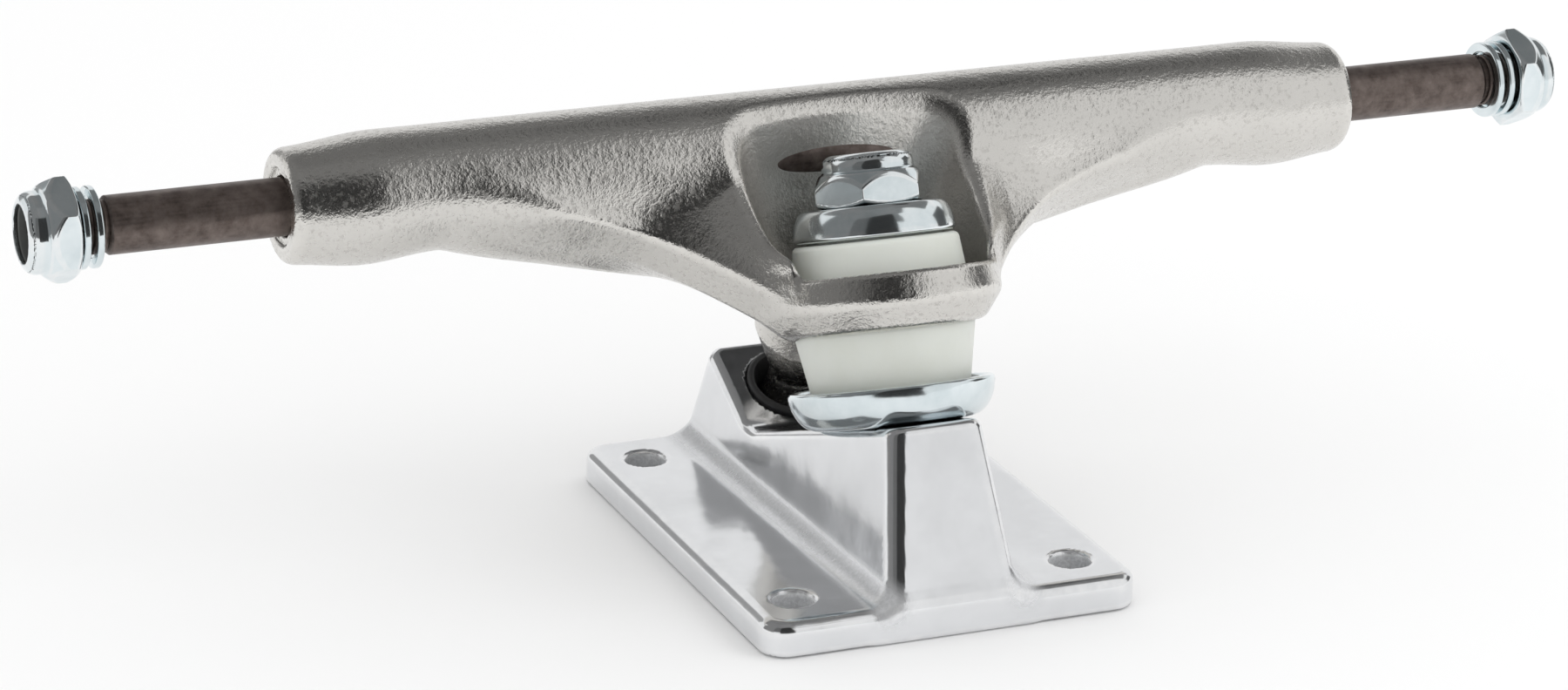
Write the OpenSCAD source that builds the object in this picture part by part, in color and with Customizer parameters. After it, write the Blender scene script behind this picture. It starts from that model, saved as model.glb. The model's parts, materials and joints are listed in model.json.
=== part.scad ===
// Skateboard truck: baseplate, kingpin, bushings, hanger and axle, in millimetres.
// X runs along the axle, +Y points to the pivot, Z is up from the deck face.

/* [Baseplate] */
// Distance between the deck holes across the board
hole_spacing_x = 41.28; // [38:0.01:44]
// Distance between the deck holes along the board
hole_spacing_y = 53.98; // [50:0.01:64]
// Diameter of a deck hole
hole_d = 5.5; // [5:0.1:6]
// Width of the plate
plate_w = 55.6; // [54:0.1:62]
// Length of the plate
plate_l = 71.2; // [68:0.1:82]
// Thickness of the plate
plate_t = 5; // [4:0.1:7]
// Radius of the plate's corners
plate_corner_r = 4; // [2:0.1:6]
// Rounding of the plate's upper edge
plate_edge_r = 1.5; // [0.5:0.1:1.8]
// Width of the tower's foot at the front
tower_front_w = 19.4; // [19:0.1:25]
// Width of the tower's foot at the back
tower_back_w = 24; // [22:0.1:28]
// Draft of the tower's sides
tower_draft = 8; // [4:0.5:10]
// Rounding of the tower's upright edges
tower_edge_r = 1.5; // [0.6:0.1:2]
// Fillet between the tower and the plate
foot_fillet_r = 3; // [1:0.1:4]
// Lean of the tower's back wall
back_lean = 15; // [8:1:20]

/* [Kingpin] */
// Distance of the kingpin seat in front of the plate's centre
kingpin_y = 12.9; // [10:0.1:15]
// Height of the kingpin seat on its axis
seat_z = 22.4; // [20:0.1:26]
// Lean of the kingpin towards the pivot
kingpin_lean = 20; // [15:0.5:24]
// Diameter of the kingpin
kingpin_d = 9.52; // [8:0.01:10.5]
// Width of the kingpin's head across its flats
head_af = 14.29; // [13:0.01:14.6]
// Height of the kingpin's head
head_h = 6.2; // [5:0.1:6.8]
// Depth of the head's bearing face below the seat
head_depth = 14.2; // [13.5:0.1:15]
// Width of the kingpin nut across its flats
nut_af = 14.29; // [13:0.01:15]
// Height of the kingpin nut's hexagon
nut_hex_h = 4.6; // [4.5:0.1:7]
// Height of the kingpin nut's collar
nut_collar_h = 2.6; // [2:0.1:4]

/* [Bushings] */
// Sheet thickness of the cup washers
cup_t = 1.4; // [1:0.1:1.8]
// Outer diameter of the bottom cup washer
bottom_cup_d = 28.6; // [27:0.1:29.5]
// Height of the bottom cup washer
bottom_cup_h = 5.4; // [4:0.1:6]
// Outer diameter of the top cup washer
top_cup_d = 22.4; // [21.8:0.1:23]
// Height of the top cup washer
top_cup_h = 4.4; // [3.6:0.1:5]
// Height of the bottom bushing
bottom_bushing_h = 13; // [12:0.1:15]
// Diameter of the bottom bushing under the hanger
bottom_bushing_d = 24.8; // [23:0.1:25.2]
// Diameter of the bottom bushing's foot
bottom_bushing_foot_d = 20.8; // [20:0.1:21.4]
// Height of the top bushing
top_bushing_h = 10.2; // [9.5:0.1:12]
// Diameter of the top bushing on the hanger
top_bushing_d = 24.4; // [23.4:0.1:25]
// Diameter of the top bushing's shoulder under its washer
top_bushing_shoulder_d = 22.8; // [21.6:0.1:23.2]
// Diameter of the top bushing's crown inside its washer
top_bushing_crown_d = 18.4; // [17.6:0.1:18.6]

/* [Hanger] */
// Width of the hanger between its end faces
hanger_w = 159; // [130:0.5:180]
// Distance of the axle behind the plate's centre
axle_y = 13.4; // [12.5:0.1:14.5]
// Height of the axle above the deck face
axle_z = 53.6; // [52.6:0.1:56]
// Radius of the hanger's end faces
end_r = 7.9; // [7:0.1:8.4]
// Height of the hanger's upper surface over the axle
arm_top = 9.1; // [8.6:0.1:9.6]
// Depth of the grip bulge below the axle
bulge_r = 8.9; // [8.2:0.1:9.4]
// Depth of the neck below the axle
neck_r = 8; // [7.6:0.1:8.6]
// Distance of the neck from the hanger's centre
neck_x = 58; // [54:0.5:60]
// Distance from the centre where the arms meet the ring
yoke_x = 12; // [10:0.5:14]
// Reach of the yoke in front of the axle where the arms meet the ring
yoke_reach = 31; // [28:0.5:33]
// Drop of the yoke's front crease below the axle
yoke_drop = 11.6; // [10:0.1:13]
// Depth of the keel below the axle where the arms meet the ring
keel_depth = 19; // [17:0.5:21]
// Size of the bevel under the front crease
crease_bevel = 4; // [2:0.1:5]
// Thickness of the web between the two bushings
ring_web = 3.6; // [3:0.1:5]
// Outer diameter of the ring at its crease
ring_d = 33.4; // [32:0.1:36]
// Outer diameter of the ring's lip
lip_d = 31.8; // [31:0.1:33]
// Outer diameter of the ring's underside
ring_foot_d = 27.6; // [26.8:0.1:29]
// Height of the lip above the top bushing's seat
lip_h = 2.7; // [2:0.1:4]
// Inner diameter of the ring around the top bushing
pocket_d = 29; // [28:0.1:29.6]
// Diameter of the hole that the kingpin passes through
ring_hole_d = 15; // [14:0.1:17]
// Depth of the seat around the bottom bushing
ring_seat_depth = 1.6; // [1:0.1:2]
// Widening of the wrench window for each millimetre of height
window_flare = 0.14; // [0.08:0.01:0.16]
// Depth to which the axle shows in the wrench window's back wall
axle_show = 0.45; // [0.3:0.05:0.8]
// Forward lean of the wrench window's back wall
window_lean = 3; // [0:1:12]
// Radius of the wrench window's hollow back wall
window_wall_r = 90; // [60:1:120]

/* [Pivot] */
// Distance of the pivot cup's mouth behind the plate's centre
pivot_y = 22.4; // [21.5:0.1:23]
// Height of the pivot cup's mouth
pivot_z = 15.6; // [15:0.1:17]
// Tilt of the pivot cup towards the kingpin
pivot_tilt = 24; // [20:1:28]
// Outer diameter of the pivot cup
cup_d = 13.4; // [12.4:0.1:13.8]
// Depth of the pivot cup's socket
socket_depth = 9.4; // [8.6:0.1:10]
// Height of the pivot cup's rim above its socket
cup_rim_h = 0.8; // [0.4:0.1:1.2]
// Diameter of the pivot ball
ball_d = 8.8; // [8:0.1:9.2]
// Depth of the ball's centre below the cup's mouth
ball_depth = 3.2; // [2.8:0.1:3.6]
// Diameter of the pivot's stem where it leaves the yoke
stem_d = 15.2; // [13:0.1:16]

/* [Axle and hardware] */
// Length of the axle
axle_l = 222.25; // [190:0.05:250]
// Diameter of the axle
axle_d = 7.94; // [7.5:0.01:8.1]
// Length of thread at each end of the axle
thread_l = 10.5; // [9:0.1:12]
// Width of the axle nuts across their flats
axle_nut_af = 12.7; // [12:0.01:13]
// Height of an axle nut's hexagon
axle_nut_hex_h = 4.2; // [4:0.1:6]
// Height of an axle nut's collar
axle_nut_collar_h = 2.6; // [2.5:0.1:4]
// Reach of the axle nuts past the axle's ends
axle_nut_reach = 3.6; // [3.2:0.1:4.2]
// Outer diameter of the speed washers
speed_washer_d = 11; // [10.5:0.1:13]
// Thickness of a speed washer
speed_washer_t = 1; // [0.8:0.05:1.2]
// Gap between two speed washers
speed_washer_gap = 0.8; // [0.4:0.1:0.9]

/* [Clearances] */
// Radial clearance of a nut or washer on its shaft
running_gap = 0.05; // [0.02:0.01:0.1]
// Clearance of a soft piece against the hanger
soft_gap = 0.1; // [0.05:0.01:0.2]
// Radial clearance of a bushing around the kingpin or in its seat
bushing_gap = 0.3; // [0.2:0.05:0.4]

/* [Hidden] */
$fn = 64;

// Fineness of the rounded corners inside a hull
hull_fn = 24;
// Overlap that makes cuts and unions clean
eps = 0.5;
// Reach of a cut that leaves the part
far = 80;

// Levels of the kingpin's stack, along the kingpin from its seat
bottom_bushing_w = cup_t + soft_gap;
web_w = bottom_bushing_w + bottom_bushing_h + soft_gap;
top_seat_w = web_w + ring_web;
top_bushing_w = top_seat_w + soft_gap;
top_cup_w = top_bushing_w + top_bushing_h + soft_gap;
nut_w = top_cup_w + cup_t;
nut_h = nut_hex_h + nut_collar_h;
nut_recess = 1.2;
kingpin_top_w = nut_w + nut_h - nut_recess;
ring_foot_w = web_w - ring_seat_depth;
lip_w = top_seat_w + lip_h;
crease_w = (ring_foot_w + lip_w) / 2;
ring_mid_w = (web_w + top_seat_w) / 2;

// Tower outline in side view
tower_l = plate_l;
front_lean = kingpin_lean;
tower_spare = 10;
tower_top_z = seat_z + tower_spare;
tower_foot_z = plate_t / 2;

// Hanger stations and section
half_w = hanger_w / 2;
end_round_r = 1.6;
taper_l = 14;
bulge_x = (half_w + neck_x) / 2;
arm_depth = 8.3;
reach_power = 2.3;
drop_power = 1.15;
keel_power = 0.78;
blend_rate = 2.4;
crease_r = 1.6;
bevel_r = 2;
keel_r = 6.5;
keel_back = 2;
stem_keel_x = 18;
stem_keel_depth = 24.5;
least_share = 0.004;
soft_start = 0.06;
end_recess_gap = 1.3;
end_recess_d = axle_d + end_recess_gap * 2;
end_recess_depth = 1.2;
axle_neck = 0.25;
core_d = axle_d - axle_neck * 2;

// Shape of the pivot
cup_lip = 0.9;
ball_neck_in = 0.8;
ball_neck_r = ball_d / 2 - ball_neck_in;
stem_waist_r = 3.8;
stem_waist_z = 3;
stem_cone_z = 11;
stem_top_z = 26;

// Shape of the washers and bushings
dish_steps = 8;
dish_clear = 0.2;
bushing_round = 0.9;

// Shape of the nuts and the thread
hex_sides = 6;
chamfer_angle = 30;
collar_inset = 1.1;
collar_round_h = 1;
collar_lip = 0.6;
thread_depth = 0.5;
thread_d = axle_d - thread_depth;
insert_wall = 1.1;
insert_clear = 0.1;
tip_chamfer = 0.8;

function mix(a, b, t) = a + (b - a) * t;
function clamp01(t) = max(0, min(1, t));
function ease(t) = let (c = clamp01(t)) c * c * (3 - 2 * c);
function across_corners(af) = af / cos(180 / hex_sides);

// Places children on the kingpin's axis, with local Z along the kingpin and local Y to the back
module on_kingpin(w = 0) {
    translate([0, -kingpin_y, seat_z]) rotate([-kingpin_lean, 0, 0]) translate([0, 0, w]) children();
}

// Places children at the mouth of the pivot cup, with local Z out of the cup
module on_pivot() {
    translate([0, pivot_y, pivot_z]) rotate([pivot_tilt, 0, 0]) children();
}

// Places children on the axle, with local Z along +X
module on_axle() {
    translate([0, axle_y, axle_z]) rotate([0, 90, 0]) children();
}

// Baseplate

module plate_corner() {
    rotate_extrude($fn = hull_fn * 2) {
        square([plate_corner_r - plate_edge_r, plate_t]);
        square([plate_corner_r, plate_t - plate_edge_r]);
        translate([plate_corner_r - plate_edge_r, plate_t - plate_edge_r]) intersection() {
            circle(plate_edge_r, $fn = hull_fn);
            square(plate_edge_r);
        }
    }
}

module plate() {
    hull() for (sx = [-1, 1], sy = [-1, 1])
        translate([sx * (plate_w / 2 - plate_corner_r), sy * (plate_l / 2 - plate_corner_r), 0]) plate_corner();
}

// Half width of the tower at a place along Y and a height
function tower_half(y, z) =
    mix(tower_front_w, tower_back_w, y / tower_l + 0.5) / 2 - (z - plate_t) * tan(tower_draft);

function tower_front_y(z) = -tower_l / 2 + (z - tower_foot_z) * tan(front_lean);
function tower_back_y(z) = tower_l / 2 - (z - tower_foot_z) * tan(back_lean);

module tower_block() {
    r = tower_edge_r;
    hull() for (z = [tower_foot_z, tower_top_z], sx = [-1, 1]) {
        yf = tower_front_y(z) + r;
        yb = tower_back_y(z) - r;
        translate([sx * (tower_half(yf, z) - r), yf, z]) sphere(r, $fn = hull_fn);
        translate([sx * (tower_half(yb, z) - r), yb, z]) sphere(r, $fn = hull_fn);
    }
}

// Everything above the kingpin seat and above the pivot housing's face
module valley_cut() {
    intersection() {
        on_kingpin() translate([-far / 2, -far, 0]) cube([far, far * 2, far]);
        on_pivot() translate([-far / 2, -far, 0]) cube([far, far * 2, far]);
    }
}

// Concave strip between one side of the tower and the plate
module foot_fillet() {
    side_turn = atan((tower_back_w - tower_front_w) / 2 / tower_l);
    r = foot_fillet_r;
    mid_half = (tower_front_w + tower_back_w) / 4;
    centre_x = r / cos(tower_draft) - r * tan(tower_draft);
    translate([mid_half, 0, plate_t]) rotate([0, 0, -side_turn]) rotate([90, 0, 0])
        translate([0, 0, -tower_l / 2 + r]) linear_extrude(tower_l - r - tower_edge_r) difference() {
            polygon([[-eps, -eps], [centre_x, -eps], [centre_x, 0],
                [centre_x - r * cos(tower_draft), r * (1 - sin(tower_draft))],
                [-r * tan(tower_draft) - eps, r * (1 - sin(tower_draft))]]);
            translate([centre_x, r]) circle(r);
        }
}

module baseplate() {
    color("silver") difference() {
        union() {
            plate();
            difference() {
                tower_block();
                valley_cut();
            }
            for (side = [0, 1]) mirror([side, 0, 0]) foot_fillet();
        }
        for (sx = [-1, 1], sy = [-1, 1])
            translate([sx * hole_spacing_x / 2, sy * hole_spacing_y / 2, -eps])
                cylinder(d = hole_d, h = plate_t + eps * 2);
        on_kingpin(-head_depth - eps) cylinder(d = kingpin_d + running_gap * 2, h = head_depth + eps * 2);
        on_kingpin(-head_depth - far) rotate(180 / hex_sides)
            cylinder(d = across_corners(head_af + running_gap * 2), h = far, $fn = hex_sides);
        on_pivot() translate([0, 0, -socket_depth]) cylinder(d = cup_d + running_gap * 2, h = far);
    }
}

// Urethane pivot cup with a ball seat and a flared mouth
module pivot_cup() {
    seat_r = ball_d / 2 + running_gap;
    mouth_r = cup_d / 2 - cup_lip;
    floor_z = -socket_depth + running_gap;
    color("dimgray") on_pivot() rotate_extrude() difference() {
        translate([0, floor_z]) square([cup_d / 2, socket_depth - running_gap + cup_rim_h]);
        translate([0, -ball_depth]) intersection() {
            circle(seat_r);
            translate([0, -seat_r]) square([seat_r, seat_r + eps]);
        }
        polygon([[0, -ball_depth], [seat_r, -ball_depth], [mouth_r, cup_rim_h + eps], [0, cup_rim_h + eps]]);
    }
}

// Kingpin stack

module kingpin() {
    shank_l = head_depth + kingpin_top_w - tip_chamfer;
    color("dimgray") on_kingpin(-head_depth) {
        cylinder(d = kingpin_d, h = shank_l);
        translate([0, 0, shank_l]) cylinder(d1 = kingpin_d, d2 = kingpin_d - tip_chamfer * 2, h = tip_chamfer);
        rotate(180 / hex_sides) translate([0, 0, -head_h])
            cylinder(d = across_corners(head_af), h = head_h, $fn = hex_sides);
    }
}

// Curve of a dish from its floor out and up to its rim, as radius and height
function dish_curve(floor_r, rim_r, low, high) =
    [for (i = [0:dish_steps]) let (a = 90 * i / dish_steps)
        [mix(floor_r, rim_r, sin(a)), mix(low, high, 1 - cos(a))]];

function reversed(list) = [for (i = [1:len(list)]) list[len(list) - i]];

// Pressed dish with a flat floor and a rim of even thickness
module cup_washer(d, h, floor_d) {
    hole_r = kingpin_d / 2 + bushing_gap;
    outer = dish_curve(floor_d / 2, d / 2, 0, h);
    inner = dish_curve(floor_d / 2, d / 2 - cup_t, cup_t, h);
    color("gainsboro") rotate_extrude()
        polygon(concat([[hole_r, cup_t], [hole_r, 0]], outer, reversed(inner)));
}

module bottom_cup_washer() {
    on_kingpin() cup_washer(bottom_cup_d, bottom_cup_h, bottom_bushing_foot_d + dish_clear * 2);
}

module top_cup_washer() {
    on_kingpin(nut_w) mirror([0, 0, 1])
        cup_washer(top_cup_d, top_cup_h, top_bushing_crown_d + dish_clear * 2);
}

// Turned bushing, from its side as radius and height
module bushing(side, h) {
    hole_r = kingpin_d / 2 + bushing_gap;
    color("ivory") rotate_extrude() polygon(concat([[hole_r, h], [hole_r, 0]], side));
}

module bottom_bushing() {
    h = bottom_bushing_h;
    foot_r = bottom_bushing_foot_d / 2;
    top_r = bottom_bushing_d / 2;
    on_kingpin(bottom_bushing_w) bushing([[foot_r - bushing_round, 0], [foot_r, bushing_round],
        [top_r, h - bushing_round * 2], [top_r, h - bushing_round], [top_r - bushing_round, h]], h);
}

module top_bushing() {
    h = top_bushing_h;
    crown_r = top_bushing_crown_d / 2;
    shoulder_r = top_bushing_shoulder_d / 2;
    seat_r = top_bushing_d / 2;
    rim_z = top_cup_h - cup_t - soft_gap + bushing_gap;
    on_kingpin(top_bushing_w + h) mirror([0, 0, 1]) bushing([[crown_r - bushing_round, 0],
        [crown_r, bushing_round], [crown_r, rim_z], [shoulder_r - bushing_round, rim_z],
        [shoulder_r, rim_z + bushing_round], [seat_r, h - bushing_round], [seat_r - bushing_round, h]], h);
}

// Cone that bevels the corners at one end of a hexagon
module corner_cone(af, h) {
    cylinder(r1 = af / 2, r2 = af / 2 + h / tan(chamfer_angle), h = h);
}

// Hexagon with a round collar for a plastic locking ring
module lock_nut(af, hex_h, collar_h, bore_d) {
    collar_d = af - collar_inset;
    straight_h = collar_h - collar_round_h;
    difference() {
        union() {
            intersection() {
                cylinder(d = across_corners(af), h = hex_h, $fn = hex_sides);
                corner_cone(af, hex_h);
                translate([0, 0, hex_h]) mirror([0, 0, 1]) corner_cone(af, hex_h);
            }
            translate([0, 0, hex_h - eps]) cylinder(d = collar_d, h = straight_h + eps);
            translate([0, 0, hex_h + straight_h])
                cylinder(d1 = collar_d, d2 = collar_d - collar_round_h * 2, h = collar_round_h);
        }
        translate([0, 0, -eps]) cylinder(d = bore_d, h = hex_h + collar_h + eps * 2);
        translate([0, 0, hex_h]) cylinder(d = bore_d + insert_wall * 2, h = collar_h - collar_lip);
    }
}

module lock_insert(hex_h, collar_h, bore_d) {
    h = collar_h - collar_lip - insert_clear;
    translate([0, 0, hex_h]) difference() {
        cylinder(d = bore_d + insert_wall * 2 - insert_clear, h = h);
        translate([0, 0, -eps]) cylinder(d = bore_d, h = h + eps * 2);
    }
}

module kingpin_nut() {
    color("lightgray") on_kingpin(nut_w) lock_nut(nut_af, nut_hex_h, nut_collar_h, kingpin_d + running_gap * 2);
}

module kingpin_nut_insert() {
    color("white") on_kingpin(nut_w) lock_insert(nut_hex_h, nut_collar_h, kingpin_d + running_gap * 2);
}

// Hanger

// Radius of the arm's section above and below the axle, at a distance from the centre
function arm_top_at(x) = mix(arm_top, end_r, ease((x - half_w + taper_l) / taper_l));
function arm_bottom_at(x) =
    x > bulge_x ? mix(bulge_r, end_r, ease((x - bulge_x) / (half_w - bulge_x)))
    : x > neck_x ? mix(neck_r, bulge_r, ease((x - neck_x) / (bulge_x - neck_x)))
    : mix(arm_depth, neck_r, ease((x - yoke_x) / (neck_x - yoke_x)));
function end_inset(x) =
    let (left = end_round_r - (half_w - x))
    left <= 0 ? 0 : end_round_r - sqrt(max(0, end_round_r * end_round_r - left * left));

// Share of the yoke at a distance from the centre: none at the neck, all where the arms meet the ring
function yoke_share(x) = clamp01((neck_x - x) / (neck_x - yoke_x));

// The same share, with a gentle start
function soft_share(u) = u * u * (1 + soft_start) / (u + soft_start);

// A section's four circles, as place behind the axle, height over the axle, and radius:
// the arm round the axle, the front crease, the bevel under it, and the keel under the axle
function section_circles(x) = let (
    r_top = arm_top_at(x) - end_inset(x),
    r_low = arm_bottom_at(x) - end_inset(x),
    arm_r = (r_top + r_low) / 2,
    arm_z = (r_top - r_low) / 2,
    u = max(least_share, yoke_share(x)),
    blend = ease(u * blend_rate),
    front_r = mix(arm_r, crease_r, blend),
    front_y = front_r - arm_r - (yoke_reach - arm_r) * pow(u, reach_power),
    front_z = arm_z - yoke_drop * pow(u, drop_power),
    under_r = mix(arm_r, bevel_r, blend),
    bevel = crease_bevel * blend,
    low_r = mix(arm_r, keel_r, blend),
    depth = mix(mix(r_low, keel_depth, pow(soft_share(u), keel_power)), stem_keel_depth,
        ease((stem_keel_x - x) / (stem_keel_x - yoke_x / 2))))
    [[0, arm_z, arm_r], [front_y, front_z, front_r], [front_y + bevel, front_z - bevel, under_r],
     [keel_back * blend, low_r - depth, low_r]];

// The circle that reaches farthest in a direction
function outermost(circles, a) = let (reach = [for (c = circles) c.x * cos(a) + c.y * sin(a) + c.z])
    [for (i = [0:len(circles) - 1]) if (reach[i] == max(reach)) circles[i]][0];

// Closed outline of the hanger's section, wrapped round its circles
function section_outline(x) = let (circles = section_circles(x))
    [for (i = [0:outline_steps - 1]) let (a = 360 * i / outline_steps, c = outermost(circles, a))
        [c.x + c.z * cos(a), c.y + c.z * sin(a)]];

outline_steps = 48;
end_steps = [0, 0.25, 0.6, 1];
arm_steps = 12;
yoke_steps = 22;
blend_start = 3;
half_stations = concat([for (s = end_steps) half_w - s * end_round_r],
    [for (i = [1:arm_steps]) mix(half_w - end_round_r, neck_x - blend_start, i / arm_steps)],
    [for (i = [1:yoke_steps]) mix(neck_x - blend_start, 0, i / yoke_steps)]);
last = len(half_stations) - 1;
stations = concat([for (x = half_stations) -x], [for (i = [1:last]) half_stations[last - i]]);

// Loft through all the sections from the left end face to the right one
module hanger_loft() {
    outlines = [for (x = stations) section_outline(abs(x))];
    n = len(outlines[0]);
    rows = len(stations);
    points = [for (i = [0:rows - 1], p = outlines[i]) [stations[i], axle_y + p.x, axle_z + p.y]];
    sides = [for (i = [0:rows - 2], j = [0:n - 1]) let (k = (j + 1) % n)
        each [[i * n + j, (i + 1) * n + k, i * n + k], [i * n + j, (i + 1) * n + j, (i + 1) * n + k]]];
    ends = [[for (j = [0:n - 1]) j], [for (j = [0:n - 1]) rows * n - 1 - j]];
    polyhedron(points = points, faces = concat(sides, ends));
}

// Bushing ring, turned about the kingpin
module hanger_ring() {
    on_kingpin() rotate_extrude() polygon([[0, ring_foot_w], [ring_foot_d / 2, ring_foot_w],
        [ring_d / 2, crease_w], [lip_d / 2, lip_w], [0, lip_w]]);
}

// Pivot: a ball on a stem that widens up into the yoke
module pivot_stem() {
    neck_z = -ball_depth + sqrt(pow(ball_d / 2, 2) - pow(ball_neck_r, 2));
    on_pivot() rotate_extrude() {
        translate([0, -ball_depth]) intersection() {
            circle(ball_d / 2);
            translate([0, -ball_d]) square(ball_d * 2);
        }
        polygon([[0, -ball_depth], [ball_neck_r, neck_z], [stem_waist_r, stem_waist_z],
            [stem_d / 2, stem_cone_z], [stem_d / 2, stem_top_z], [0, stem_top_z]]);
    }
}

// Wrench window: a round well for the top bushing and washer, opening to the front and top
module wrench_window() {
    intersection() {
        on_kingpin(top_seat_w) cylinder(r1 = pocket_d / 2, r2 = pocket_d / 2 + far * window_flare, h = far);
        translate([0, axle_y, axle_z]) rotate([window_lean, 0, 0])
            translate([0, axle_show - core_d / 2 - window_wall_r, -far]) cylinder(r = window_wall_r, h = far * 2);
    }
}

module hanger() {
    color("darkgray") difference() {
        union() {
            hanger_loft();
            hanger_ring();
            pivot_stem();
        }
        wrench_window();
        on_kingpin(-far + web_w) cylinder(d = bottom_bushing_d + bushing_gap * 2, h = far);
        on_kingpin() cylinder(d = ring_hole_d, h = far / 2);
        on_axle() cylinder(d = core_d + running_gap * 2, h = hanger_w + eps * 2, center = true);
        for (side = [0, 1]) mirror([side, 0, 0]) on_axle() translate([0, 0, half_w - end_recess_depth])
            cylinder(d = end_recess_d, h = end_recess_depth + eps);
    }
}

// Axle and its hardware

module axle() {
    shank_l = axle_l - thread_l * 2;
    color("saddlebrown") on_axle() {
        cylinder(d = core_d, h = hanger_w, center = true);
        for (side = [0, 1]) mirror([0, 0, side]) {
            translate([0, 0, half_w]) cylinder(d = axle_d, h = shank_l / 2 - half_w);
            translate([0, 0, shank_l / 2]) cylinder(d = thread_d, h = thread_l - tip_chamfer);
            translate([0, 0, axle_l / 2 - tip_chamfer])
                cylinder(d1 = thread_d, d2 = thread_d - tip_chamfer * 2, h = tip_chamfer);
        }
    }
}

axle_nut_h = axle_nut_hex_h + axle_nut_collar_h;
axle_nut_x = axle_l / 2 + axle_nut_reach - axle_nut_h;
outer_washer_x = axle_nut_x - speed_washer_t - speed_washer_gap / 2;
inner_washer_x = outer_washer_x - speed_washer_t - speed_washer_gap;
axle_nut_turn = 58;

// Places children on one stub of the axle, with local Z pointing outwards
module on_stub(side, x) {
    mirror([side < 0 ? 1 : 0, 0, 0]) on_axle() translate([0, 0, x]) children();
}

module axle_nut(side) {
    color("lightgray") on_stub(side, axle_nut_x) rotate(axle_nut_turn)
        lock_nut(axle_nut_af, axle_nut_hex_h, axle_nut_collar_h, thread_d + running_gap * 2);
}

module axle_nut_insert(side) {
    color("white") on_stub(side, axle_nut_x)
        lock_insert(axle_nut_hex_h, axle_nut_collar_h, thread_d + running_gap * 2);
}

module speed_washer(side, x) {
    color("gainsboro") on_stub(side, x) difference() {
        cylinder(d = speed_washer_d, h = speed_washer_t);
        translate([0, 0, -eps]) cylinder(d = axle_d + running_gap * 4, h = speed_washer_t + eps * 2);
    }
}

baseplate();
pivot_cup();
kingpin();
bottom_cup_washer();
bottom_bushing();
hanger();
axle();
top_bushing();
top_cup_washer();
kingpin_nut();
kingpin_nut_insert();
axle_nut(-1);  // axle_nut_left
axle_nut_insert(-1);  // axle_nut_insert_left
speed_washer(-1, outer_washer_x);  // speed_washer_outer_left
speed_washer(-1, inner_washer_x);  // speed_washer_inner_left
axle_nut(1);  // axle_nut_right
axle_nut_insert(1);  // axle_nut_insert_right
speed_washer(1, outer_washer_x);  // speed_washer_outer_right
speed_washer(1, inner_washer_x);  // speed_washer_inner_right
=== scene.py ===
"""Looks of a skateboard truck: polished baseplate, cast hanger, plated hardware and urethane bushings."""

import json
import math

import bmesh
import bpy
import numpy as np
from mathutils import Matrix, Vector


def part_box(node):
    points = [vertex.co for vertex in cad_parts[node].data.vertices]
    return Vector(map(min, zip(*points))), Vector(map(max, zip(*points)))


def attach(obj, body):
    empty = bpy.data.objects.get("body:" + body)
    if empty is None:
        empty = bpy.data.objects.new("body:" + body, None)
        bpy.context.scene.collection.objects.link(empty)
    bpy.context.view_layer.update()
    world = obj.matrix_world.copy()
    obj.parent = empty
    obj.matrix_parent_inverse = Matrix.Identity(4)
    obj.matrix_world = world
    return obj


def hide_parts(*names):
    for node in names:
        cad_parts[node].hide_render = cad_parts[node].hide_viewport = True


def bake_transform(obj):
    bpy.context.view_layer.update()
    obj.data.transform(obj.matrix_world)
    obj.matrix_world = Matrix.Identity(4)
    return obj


bl_info = {
    "name": "Skateboard Truck",
    "version": (1, 0, 0),
    "blender": (4, 5, 0),
    "location": "3D View > Sidebar > Truck",
    "description": "Dresses the jointed frame of a skateboard truck",
    "category": "Add Mesh",
}

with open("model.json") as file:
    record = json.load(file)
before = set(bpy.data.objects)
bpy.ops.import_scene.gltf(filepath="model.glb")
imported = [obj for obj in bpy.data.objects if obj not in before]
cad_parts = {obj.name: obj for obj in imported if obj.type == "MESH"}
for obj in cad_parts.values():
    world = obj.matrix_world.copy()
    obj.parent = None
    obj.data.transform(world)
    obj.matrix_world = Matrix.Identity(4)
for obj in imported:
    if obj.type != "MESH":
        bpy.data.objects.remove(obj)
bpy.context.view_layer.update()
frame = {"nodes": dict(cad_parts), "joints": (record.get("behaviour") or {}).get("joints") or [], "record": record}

MM = 0.001


# Lines that the pieces are turned about

class Line:
    """A line through the object, with heights measured along it from its origin."""

    def __init__(self, origin, axis):
        self.origin = np.array(origin, float)
        self.axis = np.array(axis, float) / np.linalg.norm(axis)
        across = (1.0, 0.0, 0.0) if abs(self.axis[0]) < 0.5 else (0.0, 0.0, 1.0)
        self.across = np.array(across)
        self.third = np.cross(self.axis, self.across)

    def point(self, height):
        """The place on the line at a height."""
        return self.origin + self.axis * height

    def polar(self, x, y, z):
        """Distance from the line and height along it of some points."""
        dx, dy, dz = x - self.origin[0], y - self.origin[1], z - self.origin[2]
        height = dx * self.axis[0] + dy * self.axis[1] + dz * self.axis[2]
        return np.sqrt(np.maximum(dx * dx + dy * dy + dz * dz - height * height, 0)), height

    def matrix(self, height=0.0):
        """Places a piece made about local Z on the line."""
        columns = np.column_stack((self.across, self.third, self.axis))
        placed = Matrix(columns.tolist()).to_4x4()
        placed.translation = Vector(self.point(height))
        return placed

    def span(self, node):
        """Lowest height, highest height and largest radius of a CAD node about the line."""
        points = np.array([v.co for v in frame["nodes"][node].data.vertices])
        radius, height = self.polar(*points.T)
        return height.min(), height.max(), radius.max()


JOINTS = {joint["name"]: joint for joint in frame["joints"]}
MOUNTS = {mount["name"]: mount for mount in frame["record"]["mounts"]}
PIVOT_TILT = math.radians(24)
SIDES = {"left": -1, "right": 1}

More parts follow.
